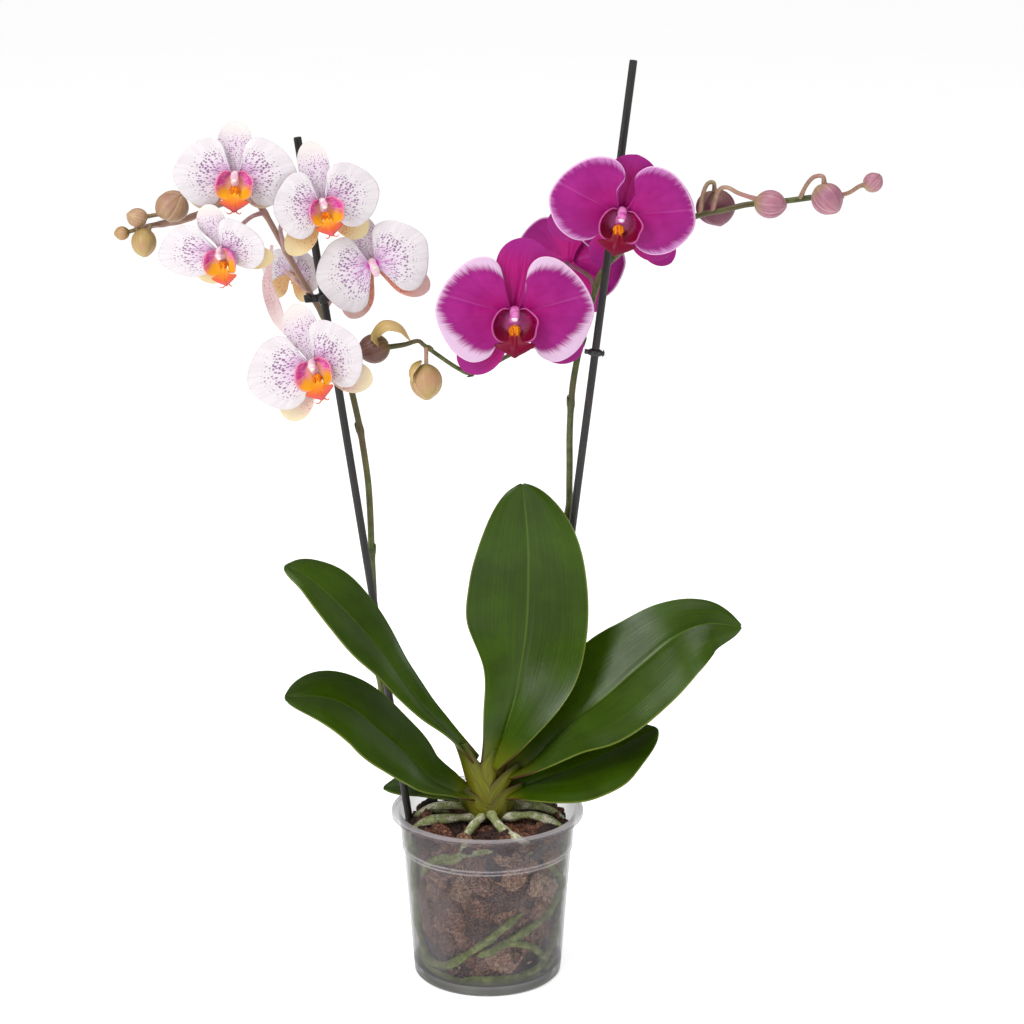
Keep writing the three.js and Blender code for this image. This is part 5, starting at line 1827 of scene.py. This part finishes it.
def tongue_look(name, stops):
    """Colours along the tongue, made uneven by its veins."""
    look = soft_look(name, 0.42)
    u, v = look.place()
    lines = look.use(VEINS, U=u, V=v, Lines=12.0, Stretch=2.5)
    uneven = look.times(look.less(lines["Height"], 0.5), 0.6)
    look.bump(lines["Height"], 0.2, 0.0006)
    return look.finish(look.ramp(look.plus(u, uneven), stops))


def callus_look():
    """Orange with brown red streaks and freckles."""
    look = soft_look("callus", 0.4)
    where = look.object_place()
    freckles = look.use(PATCHES, Place=where, Scale=900.0, Low=0.5, High=0.64)["Mask"]
    stripes = look.noise(look.vector(look.axis(where, "X"), 0.0), 900, 1)
    base = look.ramp(stripes, [(0.35, (236, 160, 20)), (0.6, (214, 96, 14))])
    return look.finish(look.over(base, (142, 40, 18), freckles, 0.7))


def column_look(name, pale, blush):
    """Two soft shades in patches."""
    look = soft_look(name, 0.4)
    clouds = look.use(PATCHES, Place=look.object_place(), Scale=260.0, Low=0.42, High=0.66)
    return look.finish(look.over(pale, blush, clouds["Mask"]))


CALLUS = callus_look()
LIPS = {
    "magenta": (
        lip_look("magenta_lip", [(176, 84, 138), (116, 0, 52), (158, 14, 98), (108, 0, 40), (190, 96, 156)]),
        tongue_look(
            "magenta_tongue",
            [(0.0, (190, 90, 30)), (0.2, (116, 2, 30)), (0.6, (110, 0, 40)), (1.0, (100, 0, 38))],
        ),
        column_look("rosy_column", (204, 120, 178), (178, 52, 140)),
        column_look("rosy_cap", (232, 212, 228), (220, 170, 206)),
    ),
    "white": (
        lip_look(
            "white_lip",
            [(214, 150, 120), (200, 70, 150), (222, 134, 190), (226, 160, 30), (226, 132, 138)],
        ),
        tongue_look(
            "white_tongue",
            [(0.0, (230, 170, 36)), (0.3, (222, 140, 30)), (0.6, (206, 92, 40)), (0.95, (200, 84, 96))],
        ),
        column_look("pale_column", (226, 200, 204), (212, 160, 184)),
        column_look("pale_cap", (234, 226, 218), (226, 206, 206)),
    ),
}
print("finishes of a lip and its column:", len(LIPS["white"]))

# %% [markdown]
# ## Putting the flowers together
#
# The two kinds differ in the size of their sepals and petals and in their colours. Each
# flower gets its own random ruffles, so that no two petals are alike. One white flower has
# lost its lip.

# %% Putting the flowers together
KINDS = {
    "white": dict(tall=0.86, upper=(25, 6), side=(24, 6), lip_size=1.05, lip_rise=0.8, tongue=0.78),
    "magenta": dict(tall=1.0, upper=(31, 3), side=(25, 4), lip_size=1.0, lip_rise=0.0, tongue=0.92),
}
for number, (name, (*_, sepals)) in enumerate(FLOWERS.items()):
    kind = name.split("_")[0]
    matrix = flower_frame(name)
    size = KINDS[kind]
    cup, tip, *middle = LIPS[kind]
    petals = [
        petal(side, size["tall"], LOWER_HALF.get(name, 1), wide, name in CLOSED_TOP, 10 * number + side + 1)
        for side, wide in zip((1, -1), PETAL_WIDTHS.get(name, (1, 1)))
    ]
    petals = moved(petals, matrix)
    show(f"{name}_petal_pair", petals, PETALS.get(name, WHITE_PETAL), f"{name}_petals")
    for piece, parts, finish in zip(("column", "cap"), column(), middle):
        show(f"{name}_{piece}", moved(parts, matrix), finish)
    upper, *lower = [
        sepal(angle, length, *size["upper" if place == 0 else "side"], seed=number + 40 * place)
        for place, (angle, length) in enumerate(sepals)
    ]
    show(f"{name}_upper_sepal", moved([upper], matrix), SEPALS[kind], f"{name}_sepals")
    ovary = tube([(0, 0, -2.2), (0, 0, -5), (0, 0, OVARY_END)], np.linspace(3.4, 1.8, 16), 16, 20)
    lower = moved([*lower, ovary], matrix)
    show(f"{name}_side_sepals", lower, SEPALS[SIDE_SEPALS.get(name, kind)])
    if name in LIP_LOST:
        continue
    bigger = np.diag([size["lip_size"]] * 3 + [1.0])
    lip_pieces = {
        "cup": ([side_lobe(side, size["lip_rise"]) for side in (1, -1)], cup, f"{name}_lip"),
        "tongue": ([tongue(size["tongue"])] + (tendrils() if kind == "white" else []), tip, None),
        "callus": (callus(), CALLUS, None),
    }
    for piece, (parts, finish, node) in lip_pieces.items():
        show(f"{name}_{piece}", moved(parts, matrix @ bigger), finish, node)
print("flowers:", len(FLOWERS))

# %% [markdown]
# ## Floor, light and camera
#
# The plant stands on a plain pale floor in a soft white studio: one large light on the left
# in front, a small low one under it for the gloss on the leaves, a weaker one on the right
# and one above. The floor gives a little light of its own, so that it stays white to the
# horizon. The backdrop lights the plant weakly and still looks white, because a Light Path
# node gives it its full strength where it is seen. The camera stands two metres in front, a
# little above the plant and looking slightly down, as in the photograph.


# %% Floor
FLOOR_REACH = 12
FLOOR_GLOW = 0.7


def floor_look():
    """Two nearly equal whites in clouds, with a glow of their own."""
    white = (1, 1, 1, 1)
    look = Look("floor", 0.9, 0.0, Emission_Color=white, Emission_Strength=FLOOR_GLOW)
    grain = look.noise(look.object_place(), 12, 3)
    return look.finish(look.over((240, 240, 240), (246, 246, 246), grain))


floor_mesh = bpy.data.meshes.new("floor")
corners = [(x * FLOOR_REACH, y * FLOOR_REACH, 0) for x, y in ((-1, -1), (1, -1), (1, 1), (-1, 1))]
floor_mesh.from_pydata(corners, [], [(0, 1, 2, 3)])
floor_mesh.materials.append(floor_look())
floor = add_object("floor", floor_mesh)
print("floor:", 2 * FLOOR_REACH, "metres wide")


# %% Lights
def soft_light(name, place, aim, size, power):
    """A square light that faces aim: its two angles come from the direction to it."""
    light = bpy.data.lights.new(name, "AREA")
    light.shape = "SQUARE"
    light.size = size
    light.energy = power
    lamp = add_object(name, light)
    direction = unit(np.asarray(aim, float) - np.asarray(place, float))
    lamp.location = place
    lamp.rotation_euler = (math.acos(-direction[2]), 0, math.atan2(direction[1], direction[0]) - math.pi / 2)
    print(name, "light:", power, "watts")


soft_light("key", (-1.2, -1.5, 1.8), (0, 0, 0.3), 0.8, 29)
soft_light("gloss", (-1.5, -1.7, 0.7), (0, 0, 0.2), 0.4, 7)
soft_light("fill", (1.6, -1.2, 0.9), (0, 0, 0.3), 1.4, 6)
soft_light("top", (0.2, -0.2, 1.9), (0, 0, 0.3), 1.0, 14)

bpy.context.scene.view_settings.view_transform = "Standard"
WORLD_LIGHT = 0.28
world = bpy.data.worlds.new("studio")
bpy.context.scene.world = world
world.use_nodes = True
studio = Nodes(world.node_tree)
backdrop = world.node_tree.nodes["Background"]
backdrop.inputs["Color"].default_value = (1, 1, 1, 1)
seen = studio.add("LightPath").outputs["Is Camera Ray"]
strength = studio.add("MapRange", Value=seen, To_Min=WORLD_LIGHT, To_Max=1.0)
studio.feed(strength.outputs["Result"], backdrop.inputs["Strength"])

# %% Camera
SENSOR_WIDTH = 36
PICTURE_WIDTH = 1024
FOCAL_PIXELS = 3404
LOOK_DOWN = 15.8
camera_data = bpy.data.cameras.new("camera")
camera_data.sensor_width = SENSOR_WIDTH
camera_data.lens = FOCAL_PIXELS / PICTURE_WIDTH * SENSOR_WIDTH
camera = add_object("camera", camera_data)
camera.location = (0.0154, -2.0, 0.867)
camera.rotation_euler = (math.radians(90 - LOOK_DOWN), 0, 0)
bpy.context.scene.camera = camera
print("lens in mm:", round(camera_data.lens, 1))
